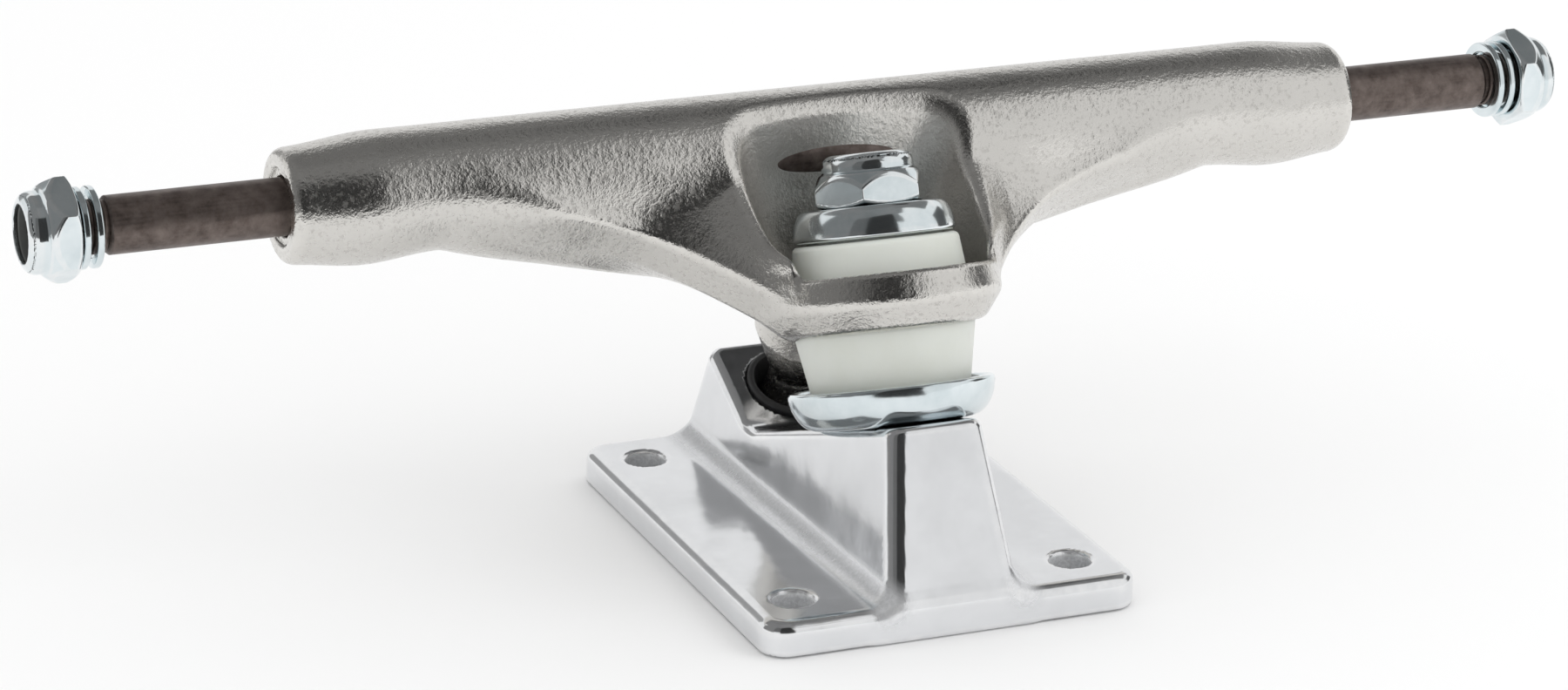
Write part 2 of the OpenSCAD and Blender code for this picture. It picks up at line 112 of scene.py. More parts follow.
kingpin = Line(JOINTS["kingpin_nut_turn"]["pos_m"], JOINTS["kingpin_nut_turn"]["axis"])
pivot = Line(JOINTS["hanger_steer"]["pos_m"], (0, -math.sin(PIVOT_TILT), math.cos(PIVOT_TILT)))
axle_centre = np.array(MOUNTS["axle_right"]["pos_m"]) * (0, 1, 1)
stubs = {side: Line(axle_centre, (sign, 0, 0)) for side, sign in SIDES.items()}


# Sizes and colours that a user would change

def size(label, millimetres):
    """A length, given in millimetres."""
    return bpy.props.FloatProperty(name=label, description=f"{label}, {millimetres} mm as built",
                                   default=millimetres * MM, min=0, unit="LENGTH", precision=5)


def share(label, value, top=1.0):
    """A plain number from 0 to top."""
    return bpy.props.FloatProperty(name=label, description=f"{label}, {value} as built", default=value,
                                   min=0, max=top, subtype="FACTOR")


def angle(label, degrees):
    """An angle, given in degrees."""
    return bpy.props.FloatProperty(name=label, description=f"{label}, {degrees} degrees as built",
                                   default=math.radians(degrees), subtype="ANGLE")


def colour(label, red, green, blue):
    """A linear colour."""
    return bpy.props.FloatVectorProperty(name=label, description=f"Colour of the {label.lower()}", size=3,
                                         min=0, max=1, default=(red, green, blue), subtype="COLOR")


class BaseplateSizes(bpy.types.PropertyGroup):
    """Sizes of the polished baseplate."""

    plate_w: size("Width of the plate", 55.6)
    plate_l: size("Length of the plate", 71.2)
    plate_t: size("Thickness of the plate", 5)
    corner_r: size("Radius of the plate's corners", 4)
    edge_r: size("Rounding of the plate's upper edge", 2.0)
    foot_edge_r: size("Rounding of the plate's lower edge", 0.6)
    tower_front_w: size("Width of the tower's foot at the front", 19.4)
    tower_back_w: size("Width of the tower's foot at the back", 24)
    tower_draft: angle("Draft of the tower's sides", 8)
    tower_edge_r: size("Rounding of the tower's upright edges", 2.2)
    top_edge_r: size("Rounding of the edges round the tower's top faces", 1.2)
    fillet_r: size("Fillet between the tower and the plate", 3)
    raw_near: size("Reach of the unpolished strip along the tower's foot", 0.9)
    raw_far: size("Reach where the unpolished strip has faded out", 4.0)
    valley_r: size("Fillet where the kingpin seat meets the pivot housing", 1.6)
    front_lean: angle("Lean of the tower's front wall", 20)
    back_lean: angle("Lean of the tower's back wall", 15)
    hole_d: size("Diameter of a deck hole", 5.5)
    hole_chamfer: size("Rounding of a deck hole's rim", 0.8)
    head_depth: size("Depth of the kingpin head's bearing face below the seat", 14.2)
    cup_d: size("Diameter of the pivot cup's bore", 13.5)
    socket_depth: size("Depth of the pivot cup's bore below its mouth", 9.4)
    mouth_height: size("Height of the cup's mouth over the pivot ball's centre", 3.2)


class HangerSizes(bpy.types.PropertyGroup):
    """Sizes of the cast hanger."""

    hanger_w: size("Width between the end faces", 159)
    end_round_r: size("Rounding of the end faces' rims", 1.6)
    end_r: size("Radius of the end faces", 7.9)
    taper_l: size("Length over which the arms narrow to their ends", 14)
    arm_top: size("Height of the arms' upper surface over the axle", 9.1)
    arm_depth: size("Depth of the arms below the axle in the yoke", 8.3)
    bulge_r: size("Depth of the grip bulge below the axle", 8.9)
    neck_r: size("Depth of the neck below the axle", 8)
    neck_x: size("Distance of the neck from the centre", 58)
    yoke_x: size("Distance from the centre where the arms meet the ring", 12)
    yoke_reach: size("Reach of the yoke's front wall beside the ring", 24.2)
    yoke_drop: size("Drop of the front wall below the axle beside the ring", 9.4)
    crease_x: size("Distance from the centre where the front wall leaves the arm", 46)
    wall_x: size("Distance from the centre where the front wall meets the ring", 15)
    wall_r: size("Rounding over the front wall", 2.8)
    ledge_reach: size("Reach of the ledge under the front wall beside the ring", 21.5)
    ledge_drop: size("Drop of the ledge below the axle beside the ring", 14.8)
    ledge_out: size("Step from the arm's front to the ledge", 1.3)
    ledge_lead: size("Added reach of the ledge where it runs into the ring", 3.4)
    lead_x: size("Distance from the centre where the added reach starts", 32)
    arm_inset: size("Depth of the valley between the arm and the ledge", 2.2)
    arm_fillet: size("Fillet in the valley between the arm and the ledge", 2.5)
    keel_depth: size("Depth of the keel where the arms meet the ring", 19)
    keel_r: size("Radius of the keel's underside", 6.5)
    keel_back: size("Distance of the keel behind the axle", 2)
    stem_keel_x: size("Distance from the centre where the keel deepens", 18)
    stem_keel_depth: size("Depth of the keel over the pivot stem", 24.5)
    crease_r: size("Rounding of the ledge's edge", 1.6)
    ledge_bevel: size("Size of the bevel under the ledge", 3.6)
    bevel_r: size("Radius of the bevel's lower edge", 2)
    ring_d: size("Outer diameter of the ring at its crease", 33.4)
    lip_d: size("Outer diameter of the ring's lip", 31.8)
    ring_foot_d: size("Outer diameter of the ring's underside", 27.6)
    ring_edge_r: size("Rounding of the ring's crease and edges", 0.7)
    ring_blend_r: size("Fillet between the ring and the arms", 1.8)
    web_height: size("Height of the web's underside along the kingpin", 14.6)
    ring_web: size("Thickness of the web between the bushings", 3.6)
    lip_h: size("Height of the lip above the top bushing's seat", 2.7)
    seat_depth: size("Depth of the seat round the bottom bushing", 1.6)
    seat_d: size("Diameter of the seat round the bottom bushing", 25.4)
    pocket_d: size("Inner diameter of the ring round the top bushing", 29)
    hole_d: size("Diameter of the hole that the kingpin passes", 15)
    window_flare: share("Widening of the wrench window with its height", 0.14)
    window_lean: angle("Forward lean of the window's back wall", 3)
    window_wall_r: size("Radius of the window's hollow back wall", 90)
    window_corner_r: size("Rounding of the window's inner corners", 3.6)
    # Over this reach the window's walls get a rougher skin and a lighter tone that is painted light.
    window_skin_and_light_fade: size("Reach of the rougher skin of the window's walls", 0.6)
    window_rim_r: size("Rounding of the window's rim", 2.2)
    lip_rim_r: size("Rounding of the rim on the ring's lip", 0.45)
    axle_show: size("Depth to which the axle shows in the window's back wall", 0.45)
    bore_d: size("Diameter of the axle's bore in the end faces", 8.04)
    bore_depth: size("Depth of the axle's bore in the end faces", 4)
    recess_d: size("Diameter of the recess in the end faces", 10.54)
    recess_depth: size("Depth of the recess in the end faces", 0.5)
    ball_d: size("Diameter of the pivot ball", 8.8)
    waist_r: size("Radius of the stem's waist", 3.8)
    waist_height: size("Height of the waist over the ball's centre", 6.2)
    stem_d: size("Diameter of the stem where it leaves the yoke", 15.2)
    stem_cone_height: size("Height where the stem's cone ends", 14.2)
    stem_height: size("Height where the stem ends inside the yoke", 29.2)
    stem_blend_r: size("Fillet between the stem and the yoke", 2.4)


class HardwareSizes(bpy.types.PropertyGroup):
    """Sizes of the nuts, washers, bushings and threads."""

    kingpin_af: size("Width of the kingpin nut and head across flats", 14.29)
    kingpin_hex_h: size("Height of the kingpin nut's hexagon", 4.6)
    kingpin_d: size("Diameter of the kingpin", 9.52)
    head_h: size("Height of the kingpin's head", 6.2)
    axle_af: size("Width of the axle nuts across flats", 12.7)
    axle_hex_h: size("Height of an axle nut's hexagon", 4.2)
    axle_d: size("Diameter of the axle", 7.94)
    thread_l: size("Length of thread at each end of the axle", 8)
    thread_pitch: size("Pitch of the threads", 1.06)
    thread_depth: size("Depth of the threads", 0.6)
    nut_turn: angle("Turn of the axle nuts", 58)
    collar_inset: size("Step from a nut's flats to its collar", 1.6)
    dome_inset: size("Step from a nut's flats to the start of its domed shoulder", 0.4)
    collar_lip: size("Thickness of the collar's rolled lip", 0.6)
    collar_round: size("Rounding of the collar's shoulder", 1.7)
    nut_edge_r: size("Rounding of a nut's edges", 0.22)
    insert_wall: size("Wall of a nut's locking ring", 1.1)
    cup_t: size("Sheet thickness of the cup washers", 1.4)
    bottom_floor_d: size("Diameter of the bottom cup washer's flat floor", 21.2)
    top_floor_d: size("Diameter of the top cup washer's flat floor", 18.8)
    cup_hole_d: size("Diameter of the cup washers' and bushings' holes", 10.12)
    bushing_foot_d: size("Diameter of the bottom bushing's foot", 20.8)
    shoulder_d: size("Diameter of the top bushing's shoulder", 22.8)
    crown_d: size("Diameter of the top bushing's crown", 18.4)
    crown_h: size("Height of the top bushing's crown", 3.2)
    bushing_round: size("Rounding of the bushings' edges", 0.9)
    speed_washer_d: size("Diameter of the speed washers' holes", 8.14)


class FinishColours(bpy.types.PropertyGroup):
    """Colours of the finishes."""

    polished: colour("Polished aluminium of the baseplate", 0.80, 0.81, 0.825)
    cast: colour("Raw cast aluminium of the hanger", 0.665, 0.65, 0.62)
    cast_pit: colour("Pits and grain of the raw casting", 0.30, 0.285, 0.265)
    axle: colour("Dark oxide of the axle", 0.070, 0.053, 0.046)
    axle_worn: colour("Axle steel where the oxide is thin", 0.19, 0.155, 0.14)
    kingpin: colour("Plain steel of the kingpin", 0.45, 0.45, 0.455)
    zinc: colour("Bright zinc plate of the nuts and washers", 0.75, 0.81, 0.83)
    zinc_dull: colour("Zinc plate where it has dulled", 0.56, 0.64, 0.665)
    urethane: colour("Off-white urethane of the bushings", 0.67, 0.69, 0.645)
    cup: colour("Black urethane of the pivot cup", 0.018, 0.018, 0.019)
    nylon: colour("Nylon of the nuts' locking rings", 0.12, 0.125, 0.12)


class StageSettings(bpy.types.PropertyGroup):
    """Floor, lights and camera."""

    floor: colour("Pale floor", 0.95, 0.95, 0.95)
    surround: share("Light from all round on matt surfaces", 1.0, 4)
    reflected: share("Brightness of the surround in reflections", 0.90, 4)
    key_power: bpy.props.FloatProperty(name="Key light", description="Power of the key light",
                                       default=2.0, min=0, unit="POWER")
    lens: bpy.props.FloatProperty(name="Lens", description="Focal length in millimetres", default=117.4,
                                  min=1, unit="CAMERA")


# Signed distances, negative inside a form

def mix(a, b, t):
    """Runs from a to b as t runs from 0 to 1."""
    return a + (b - a) * t


def ease(t):
    """Smooth step from 0 to 1."""
    t = np.clip(t, 0, 1)
    return t * t * (3 - 2 * t)


def join(a, b, r):
    """Two forms together, with a fillet of radius r between them."""
    return np.maximum(r, np.minimum(a, b)) - np.hypot(np.maximum(r - a, 0), np.maximum(r - b, 0))


def common(a, b, r):
    """What two forms share, with its edge rounded to radius r."""
    return -join(-a, -b, r)


def cut(a, b, r):
    """The first form without the second, with the edge rounded to radius r."""
    return -join(-a, b, r)


def turned_form(radius, height, corners, r):
    """A convex form turned about a line: its corners go up the outside as radius and height."""
    made = common(corners[0][1] - height, height - corners[-1][1], r)
    for (r0, h0), (r1, h1) in zip(corners, corners[1:]):
        length = math.hypot(r1 - r0, h1 - h0)
        wall = ((radius - r0) * (h1 - h0) - (height - h0) * (r1 - r0)) / length
        made = common(made, wall, r)
    return made


def wrapped_circles(y, z, circles):
    """Distance to the outline wrapped tightly round some circles, each a place and a radius."""
    slack = 1e-9
    made = np.full(np.broadcast_shapes(y.shape, z.shape, circles[0][2].shape), -np.inf)
    for i, (yi, zi, ri) in enumerate(circles):
        reach = np.maximum(np.hypot(y - yi, z - zi), slack)
        ny, nz = (y - yi) / reach, (z - zi) / reach
        farthest = np.max([yk * ny + zk * nz + rk for yk, zk, rk in circles], axis=0)
        on_arc = yi * ny + zi * nz + ri >= farthest - slack
        made = np.where(on_arc, np.maximum(made, reach - ri), made)
        for yj, zj, rj in circles[:i] + circles[i + 1:]:
            length = np.maximum(np.hypot(yj - yi, zj - zi), slack)
            slope = (ri - rj) / length
            rise = np.sqrt(np.maximum(1 - slope * slope, 0))
            ny = ((yj - yi) * slope + (zj - zi) * rise) / length
            nz = ((zj - zi) * slope - (yj - yi) * rise) / length
            offset = yi * ny + zi * nz + ri
            farthest = np.max([yk * ny + zk * nz + rk for yk, zk, rk in circles], axis=0)
            tangent = (np.abs(slope) < 1) & (offset >= farthest - slack)
            if tangent.any():
                made = np.where(tangent, np.maximum(made, y * ny + z * nz - offset), made)
    return made


# Meshes from signed distances

CELL_CORNERS = [(i, j, k) for i in (0, 1) for j in (0, 1) for k in (0, 1)]
CELL_EDGES = [(a, b) for a in CELL_CORNERS for b in CELL_CORNERS
              if sum(b) - sum(a) == 1 and all(q >= p for p, q in zip(a, b))]
SETTLE_STEPS = 4
PROBE = 0.05
NORMAL_PROBE = 0.12
LEAST_STEEPNESS = 0.05
TINY = 1e-9


def slope_of(field, points, reach):
    """Gradient of a distance at some points."""
    columns = []
    for axis in range(3):
        offset = np.zeros(3)
        offset[axis] = reach
        columns.append((field(*(points + offset).T) - field(*(points - offset).T)) / (2 * reach))
    return np.column_stack(columns)


def settle(field, points, step):
    """Moves points onto a form's surface, and returns them with the surface's normals."""
    for _ in range(SETTLE_STEPS):
        slope = slope_of(field, points, step * PROBE)
        steepness = np.maximum((slope * slope).sum(1), LEAST_STEEPNESS)
        move = slope * (field(*points.T) / steepness)[:, None]
        points = points - np.clip(move, -step / 2, step / 2)
    normals = slope_of(field, points, step * NORMAL_PROBE)
    return points, normals / np.maximum(np.linalg.norm(normals, axis=1), TINY)[:, None]


def skin(name, field, low, high, step):
    """A closed mesh of quads over a form's surface, on a grid of that step."""
    low = np.array(low) - step * 2
    counts = np.ceil((np.array(high) - low) / step).astype(int) + 3
    axes = [low[i] + step * np.arange(counts[i]) for i in range(3)]
    depth = field(*np.meshgrid(*axes, indexing="ij", sparse=True))
    inside = depth < 0
    full = sum(inside[i:counts[0] - 1 + i, j:counts[1] - 1 + j, k:counts[2] - 1 + k].astype(np.int8)
               for i, j, k in CELL_CORNERS)
    mixed = (full > 0) & (full < 8)
    cells = np.argwhere(mixed)
    number = np.full(mixed.shape, -1)
    number[mixed] = np.arange(len(cells))
    total, crossings = np.zeros((len(cells), 3)), np.zeros(len(cells))
    for a, b in CELL_EDGES:
        depth_a, depth_b = depth[tuple((cells + a).T)], depth[tuple((cells + b).T)]
        crossed = (depth_a < 0) != (depth_b < 0)
        part = np.where(crossed, depth_a / np.where(crossed, depth_a - depth_b, 1), 0)
        total += (np.array(a) + part[:, None] * (np.array(b) - a)) * crossed[:, None]
        crossings += crossed
    points = low + step * (cells + total / crossings[:, None])
    quads = []
    for axis in range(3):
        u, v = np.eye(3, dtype=int)[[(axis + 1) % 3, (axis + 2) % 3]]
        upper = np.roll(inside, -1, axis)
        corners = np.argwhere(inside != upper)
        rising = inside[tuple(corners.T)]
        loops = np.stack([number[tuple((corners - move).T)] for move in (u + v, v, 0 * u, u)], axis=1)
        quads.append(np.where(rising[:, None], loops, loops[:, ::-1]))
    points, normals = settle(field, points, step)
    mesh = bpy.data.meshes.new(name)
    mesh.from_pydata(points.tolist(), [], np.concatenate(quads).tolist())
    mesh.polygons.foreach_set("use_smooth", np.ones(len(mesh.polygons), bool))
    mesh.normals_split_custom_set_from_vertices(normals.tolist())
    mark_edges(mesh)
    return mesh


EDGE_ATTRIBUTE = "edge_bend"
# Marks raw, rougher skin; on the hanger it also marks the window walls that are painted lighter as painted light.
RAW_SKIN_AND_LIGHT_ATTRIBUTE = "hollow"
EDGE_SCALE = 2.2 * MM


def rows_of(items, key, width, kind=float):
    """One property of every vertex, normal or edge of a mesh, as rows."""
    made = np.empty(len(items) * width, kind)
    items.foreach_get(key, made)
    return made.reshape(-1, width)


def store_mask(mesh, name, values):
    """Stores a value from 0 to 1 at each point of a mesh."""
    values = np.clip(values, 0, 1).astype(np.float32)
    mesh.attributes.new(name, "FLOAT", "POINT").data.foreach_set("value", values)


def mark_edges(mesh):
    """Stores how sharply the surface bends outwards at each point, which the edge wear reads."""
    places, normals = rows_of(mesh.vertices, "co", 3), rows_of(mesh.vertex_normals, "vector", 3)
    a, b = rows_of(mesh.edges, "vertices", 2, int).T
    along = places[b] - places[a]
    bend = ((normals[b] - normals[a]) * along).sum(1) / np.maximum((along * along).sum(1), 1e-12)
    total, edges = np.zeros(len(places)), np.zeros(len(places))
    for end in (a, b):
        np.add.at(total, end, bend)
        np.add.at(edges, end, 1)
    store_mask(mesh, EDGE_ATTRIBUTE, total / np.maximum(edges, 1) * EDGE_SCALE)


def mark_raw_skin_and_painted_light(mesh, mask):
    """Stores how far each point lies in a hollow that polishing or tumbling didn't reach, where a finish is
    rougher; the hanger's finish also paints its window lighter there, as painted light for the pocket's shade.
    """
    store_mask(mesh, RAW_SKIN_AND_LIGHT_ATTRIBUTE, mask(*rows_of(mesh.vertices, "co", 3).T))


def place(mesh, slot, body=None, replaced=()):
    """Makes a mesh a piece in a slot's material, riding on a body and standing for CAD nodes."""
    piece = bpy.data.objects.new(mesh.name, mesh)
    bpy.context.scene.collection.objects.link(piece)
    mesh.materials.clear()
    mesh.materials.append(material(slot))
    if body:
        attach(piece, body)
    if replaced:
        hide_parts(*replaced)
    return piece


# Node trees

def put(tree, socket, value):
    """Links an output to a socket, or sets the socket to a plain value."""
    if isinstance(value, bpy.types.NodeSocket):
        tree.links.new(value, socket)
    else:
        socket.default_value = value


def add_node(tree, kind, inputs=None, **settings):
    """Adds a node, with its settings and with its inputs linked or set."""
    made = tree.nodes.new(kind)
    for key, value in settings.items():
        setattr(made, key, value)
    for key, value in (inputs or {}).items():
        put(tree, made.inputs[key], value)
    return made


def result(tree, kind, inputs, **settings):
    """The first output of a new node."""
    return add_node(tree, kind, inputs, **settings).outputs[0]


def math_node(tree, operation, a, b=0.0, c=0.0):
    """The result of a sum on up to three values."""
    return result(tree, "ShaderNodeMath", {0: a, 1: b, 2: c}, operation=operation)


def node_group(name, kind, inputs, outputs):
    """A node group with named sockets, and the sockets as its own nodes see them."""
    tree = bpy.data.node_groups.new(name, kind)
    for in_out, sockets in (("INPUT", inputs), ("OUTPUT", outputs)):
        for label, value in sockets.items():
            tree.interface.new_socket(name=label, in_out=in_out, socket_type="NodeSocket" + value)
    return tree, tree.nodes.new("NodeGroupInput").outputs, tree.nodes.new("NodeGroupOutput").inputs


def geometry_group(name, inputs):
    """A geometry node group that also takes a material."""
    sockets = {"Geometry": "Geometry", **inputs, "Material": "Material"}
    return node_group(name, "GeometryNodeTree", sockets, {"Geometry": "Geometry"})


def end_tree(tree, given, out, geometry):
    """Ends a tree in smooth real faces of the given material."""
    smooth = result(tree, "GeometryNodeSetShadeSmooth", {"Geometry": geometry})
    real = result(tree, "GeometryNodeRealizeInstances", {"Geometry": smooth})
    coated = result(tree, "GeometryNodeSetMaterial", {"Geometry": real, "Material": given["Material"]})
    put(tree, out["Geometry"], coated)
    return tree


TURN_SEGMENTS = 128
SWEEP_RADIUS = 2 * MM
MERGE_REACH = 0.001 * MM
THREAD_STEPS = 48
RIDGE_CORNERS = 3
RIDGE_SHARE = 2 / 3


def turning_tree():
    """Turns a profile, drawn as radius and height, about local Z."""
    tree, given, out = geometry_group("Turned piece", {"Segments": "Int", "Sweep radius": "Float"})
    profile = result(tree, "GeometryNodeMeshToCurve", {"Mesh": given["Geometry"]})
    circle = result(tree, "GeometryNodeCurvePrimitiveCircle",
                    {"Resolution": given["Segments"], "Radius": given["Sweep radius"]})
    upright = result(tree, "GeometryNodeSetCurveNormal", {"Curve": circle}, mode="Z_UP")
    swept = result(tree, "GeometryNodeCurveToMesh", {"Curve": upright, "Profile Curve": profile})
    merged = result(tree, "GeometryNodeMergeByDistance", {"Geometry": swept, "Distance": MERGE_REACH})
    return end_tree(tree, given, out, merged)


def thread_tree():
    """A thread's ridge that climbs along local Z."""
    tree, given, out = geometry_group(
        "Thread", {"Radius": "Float", "Pitch": "Float", "Depth": "Float", "Length": "Float"})
    turns = math_node(tree, "DIVIDE", given["Length"], given["Pitch"])
    ridge_r = math_node(tree, "MULTIPLY", given["Depth"], RIDGE_SHARE)
    middle = math_node(tree, "SUBTRACT", given["Radius"], ridge_r)
    helix = result(tree, "GeometryNodeCurveSpiral",
                   {"Resolution": THREAD_STEPS, "Rotations": turns, "Start Radius": middle,
                    "End Radius": middle, "Height": given["Length"]})
    upright = result(tree, "GeometryNodeSetCurveNormal", {"Curve": helix}, mode="Z_UP")
    ridge = result(tree, "GeometryNodeCurvePrimitiveCircle", {"Resolution": RIDGE_CORNERS, "Radius": ridge_r})
    swept = result(tree, "GeometryNodeCurveToMesh",
                   {"Curve": upright, "Profile Curve": ridge, "Fill Caps": True})
    return end_tree(tree, given, out, swept)


TREES = {"Turned piece": turning_tree, "Thread": thread_tree}


def grown(name, source, tree_name, values, matrix):
    """The closed mesh that a geometry tree grows from a source mesh, put in its place, faces outwards."""
    tree = bpy.data.node_groups.get(tree_name) or TREES[tree_name]()
    maker = bpy.data.objects.new(name + "_maker", source)
    bpy.context.scene.collection.objects.link(maker)
    nodes = maker.modifiers.new("Nodes", "NODES")
    nodes.node_group = tree
    for item in tree.interface.items_tree:
        if item.in_out == "INPUT" and item.name in values:
            nodes[item.identifier] = values[item.name]
    even = maker.modifiers.new("Even normals", "WEIGHTED_NORMAL")
    even.weight = 100
    maker.update_tag()
    bpy.context.view_layer.update()
    made = bpy.data.meshes.new_from_object(maker.evaluated_get(bpy.context.evaluated_depsgraph_get()))
    bpy.data.objects.remove(maker)
    made.name = name
    made.transform(matrix)
    mark_edges(made)
    shape = bmesh.new()
    shape.from_mesh(made)
    inside_out = shape.calc_volume(signed=True) < 0
    shape.free()
    if inside_out:
        made.flip_normals()
    return made


ARC_STEP = math.radians(13)
STRAIGHT = math.pi - 0.01


def rounded_corner(before, corner, after, r):
    """Points of an arc that rounds one corner of a profile."""
    p, a, b = (np.array(v, float) for v in (corner, before, after))
    to_a, to_b = (a - p) / np.linalg.norm(a - p), (b - p) / np.linalg.norm(b - p)
    opening = math.acos(np.clip(to_a @ to_b, -1, 1))
    if r <= 0 or opening > STRAIGHT:
        return [tuple(p)]
    back = r / math.tan(opening / 2)
    centre = p + (to_a + to_b) / np.linalg.norm(to_a + to_b) * (r / math.sin(opening / 2))
    start, end = p + to_a * back - centre, p + to_b * back - centre
    sweep = math.pi - opening
    steps = max(2, math.ceil(sweep / ARC_STEP))
    return [tuple(centre + (start * math.sin(sweep * (1 - t)) + end * math.sin(sweep * t)) / math.sin(sweep))
            for t in np.linspace(0, 1, steps + 1)]


def turned(name, corners, line, slot, height=0.0, closed=True):
    """A mesh turned about a line: corners are radius, height and rounding, in order round the profile."""
    count = len(corners)
    points = []
    for i, (radius, rise, r) in enumerate(corners):
        if not closed and i in (0, count - 1):
            points.append((radius, rise))
            continue
        before, after = corners[i - 1][:2], corners[(i + 1) % count][:2]
        points += rounded_corner(before, (radius, rise), after, r)
    wire = bpy.data.meshes.new(name + "_profile")
    edges = [(i, i + 1) for i in range(len(points) - 1)] + ([(len(points) - 1, 0)] if closed else [])
    wire.from_pydata([(radius - SWEEP_RADIUS, -rise, 0) for radius, rise in points], edges, [])
    values = {"Segments": TURN_SEGMENTS, "Sweep radius": SWEEP_RADIUS, "Material": material(slot)}
    return grown(name, wire, "Turned piece", values, line.matrix(height))


def threaded(name, line, height, radius, length, slot):
    """A thread's ridge on a line."""
    s = bpy.context.scene.truck_hardware
    values = {"Radius": radius, "Pitch": s.thread_pitch, "Depth": s.thread_depth * RIDGE_EXCESS,
              "Length": length, "Material": material(slot)}
    return grown(name, bpy.data.meshes.new(name + "_start"), "Thread", values, line.matrix(height))


# Shader node groups for the effects that several finishes share

def noise(tree, vector, scale, detail=3.0, roughness=0.55):
    """A noise texture's value."""
    return result(tree, "ShaderNodeTexNoise",
                  {"Vector": vector, "Scale": scale, "Detail": detail, "Roughness": roughness})


def ramp(tree, value, low, high):
    """A value stretched so that low becomes 0 and high becomes 1."""
    return result(tree, "ShaderNodeMapRange", {"Value": value, "From Min": low, "From Max": high})


def effect_group(name, inputs, outputs):
    """A shader group that reads a place and some values, and gives some values."""
    sockets = {"Vector": "Vector", **{label: "Float" for label in inputs}}
    return node_group(name, "ShaderNodeTree", sockets, {label: "Float" for label in outputs})


def grain_group():
    """Coarse sand grain of a raw casting: its height, and its pits as a mask."""
    tree, given, out = effect_group("Casting grain", ["Grains per metre"], ["Height", "Pits"])
    vector, rate = given["Vector"], given["Grains per metre"]
    coarse = noise(tree, vector, rate, 2.0, 0.6)
    fine = noise(tree, vector, math_node(tree, "MULTIPLY", rate, 2.7), 2.0, 0.6)
    swell = noise(tree, vector, math_node(tree, "MULTIPLY", rate, 0.12), 2.0)
    both = math_node(tree, "MULTIPLY_ADD", fine, 0.45, coarse)
    put(tree, out["Height"], math_node(tree, "MULTIPLY_ADD", swell, 1.6, both))
    put(tree, out["Pits"], ramp(tree, both, 0.70, 0.52))
    return tree


def handling_group():
    """Patches where hands and cloths have dulled a surface, and streaks along X."""
    tree, given, out = effect_group("Handling marks", ["Patches per metre"], ["Patches", "Streaks"])
    vector, rate = given["Vector"], given["Patches per metre"]
    stretched = result(tree, "ShaderNodeMapping", {"Vector": vector, "Scale": (0.06, 1.0, 1.0)})
    streaks = noise(tree, stretched, math_node(tree, "MULTIPLY", rate, 55.0), 2.0)
    put(tree, out["Patches"], ramp(tree, noise(tree, vector, rate, 4.0, 0.6), 0.40, 0.66))
    put(tree, out["Streaks"], streaks)
    return tree


def wear_group():
    """Wear along the edges, broken up by noise."""
    tree, given, out = effect_group("Edge wear", ["Edge", "Amount"], ["Worn"])
    broken = ramp(tree, noise(tree, given["Vector"], 420.0, 4.0, 0.65), 0.3, 0.7)
    edge = ramp(tree, given["Edge"], 0.12, 0.6)
    amount = math_node(tree, "MULTIPLY", broken, given["Amount"])
    put(tree, out["Worn"], math_node(tree, "MULTIPLY", edge, amount))
    return tree


def lathe_group():
    """Fine rings left by turning about local Z."""
    tree, given, out = effect_group("Turning rings", ["Rings per metre"], ["Height"])
    flat = result(tree, "ShaderNodeMapping", {"Vector": given["Vector"], "Scale": (0.02, 0.02, 1.0)})
    put(tree, out["Height"], noise(tree, flat, given["Rings per metre"], 3.0, 0.7))
    return tree


GROUPS = {"Casting grain": grain_group, "Handling marks": handling_group, "Edge wear": wear_group,
          "Turning rings": lathe_group}
FINISH_SUFFIX = "_finish"


# Finishes

def scaled(tone, factor):
    """A lighter or darker version of a colour."""
    return [min(1, part * factor) for part in tone]


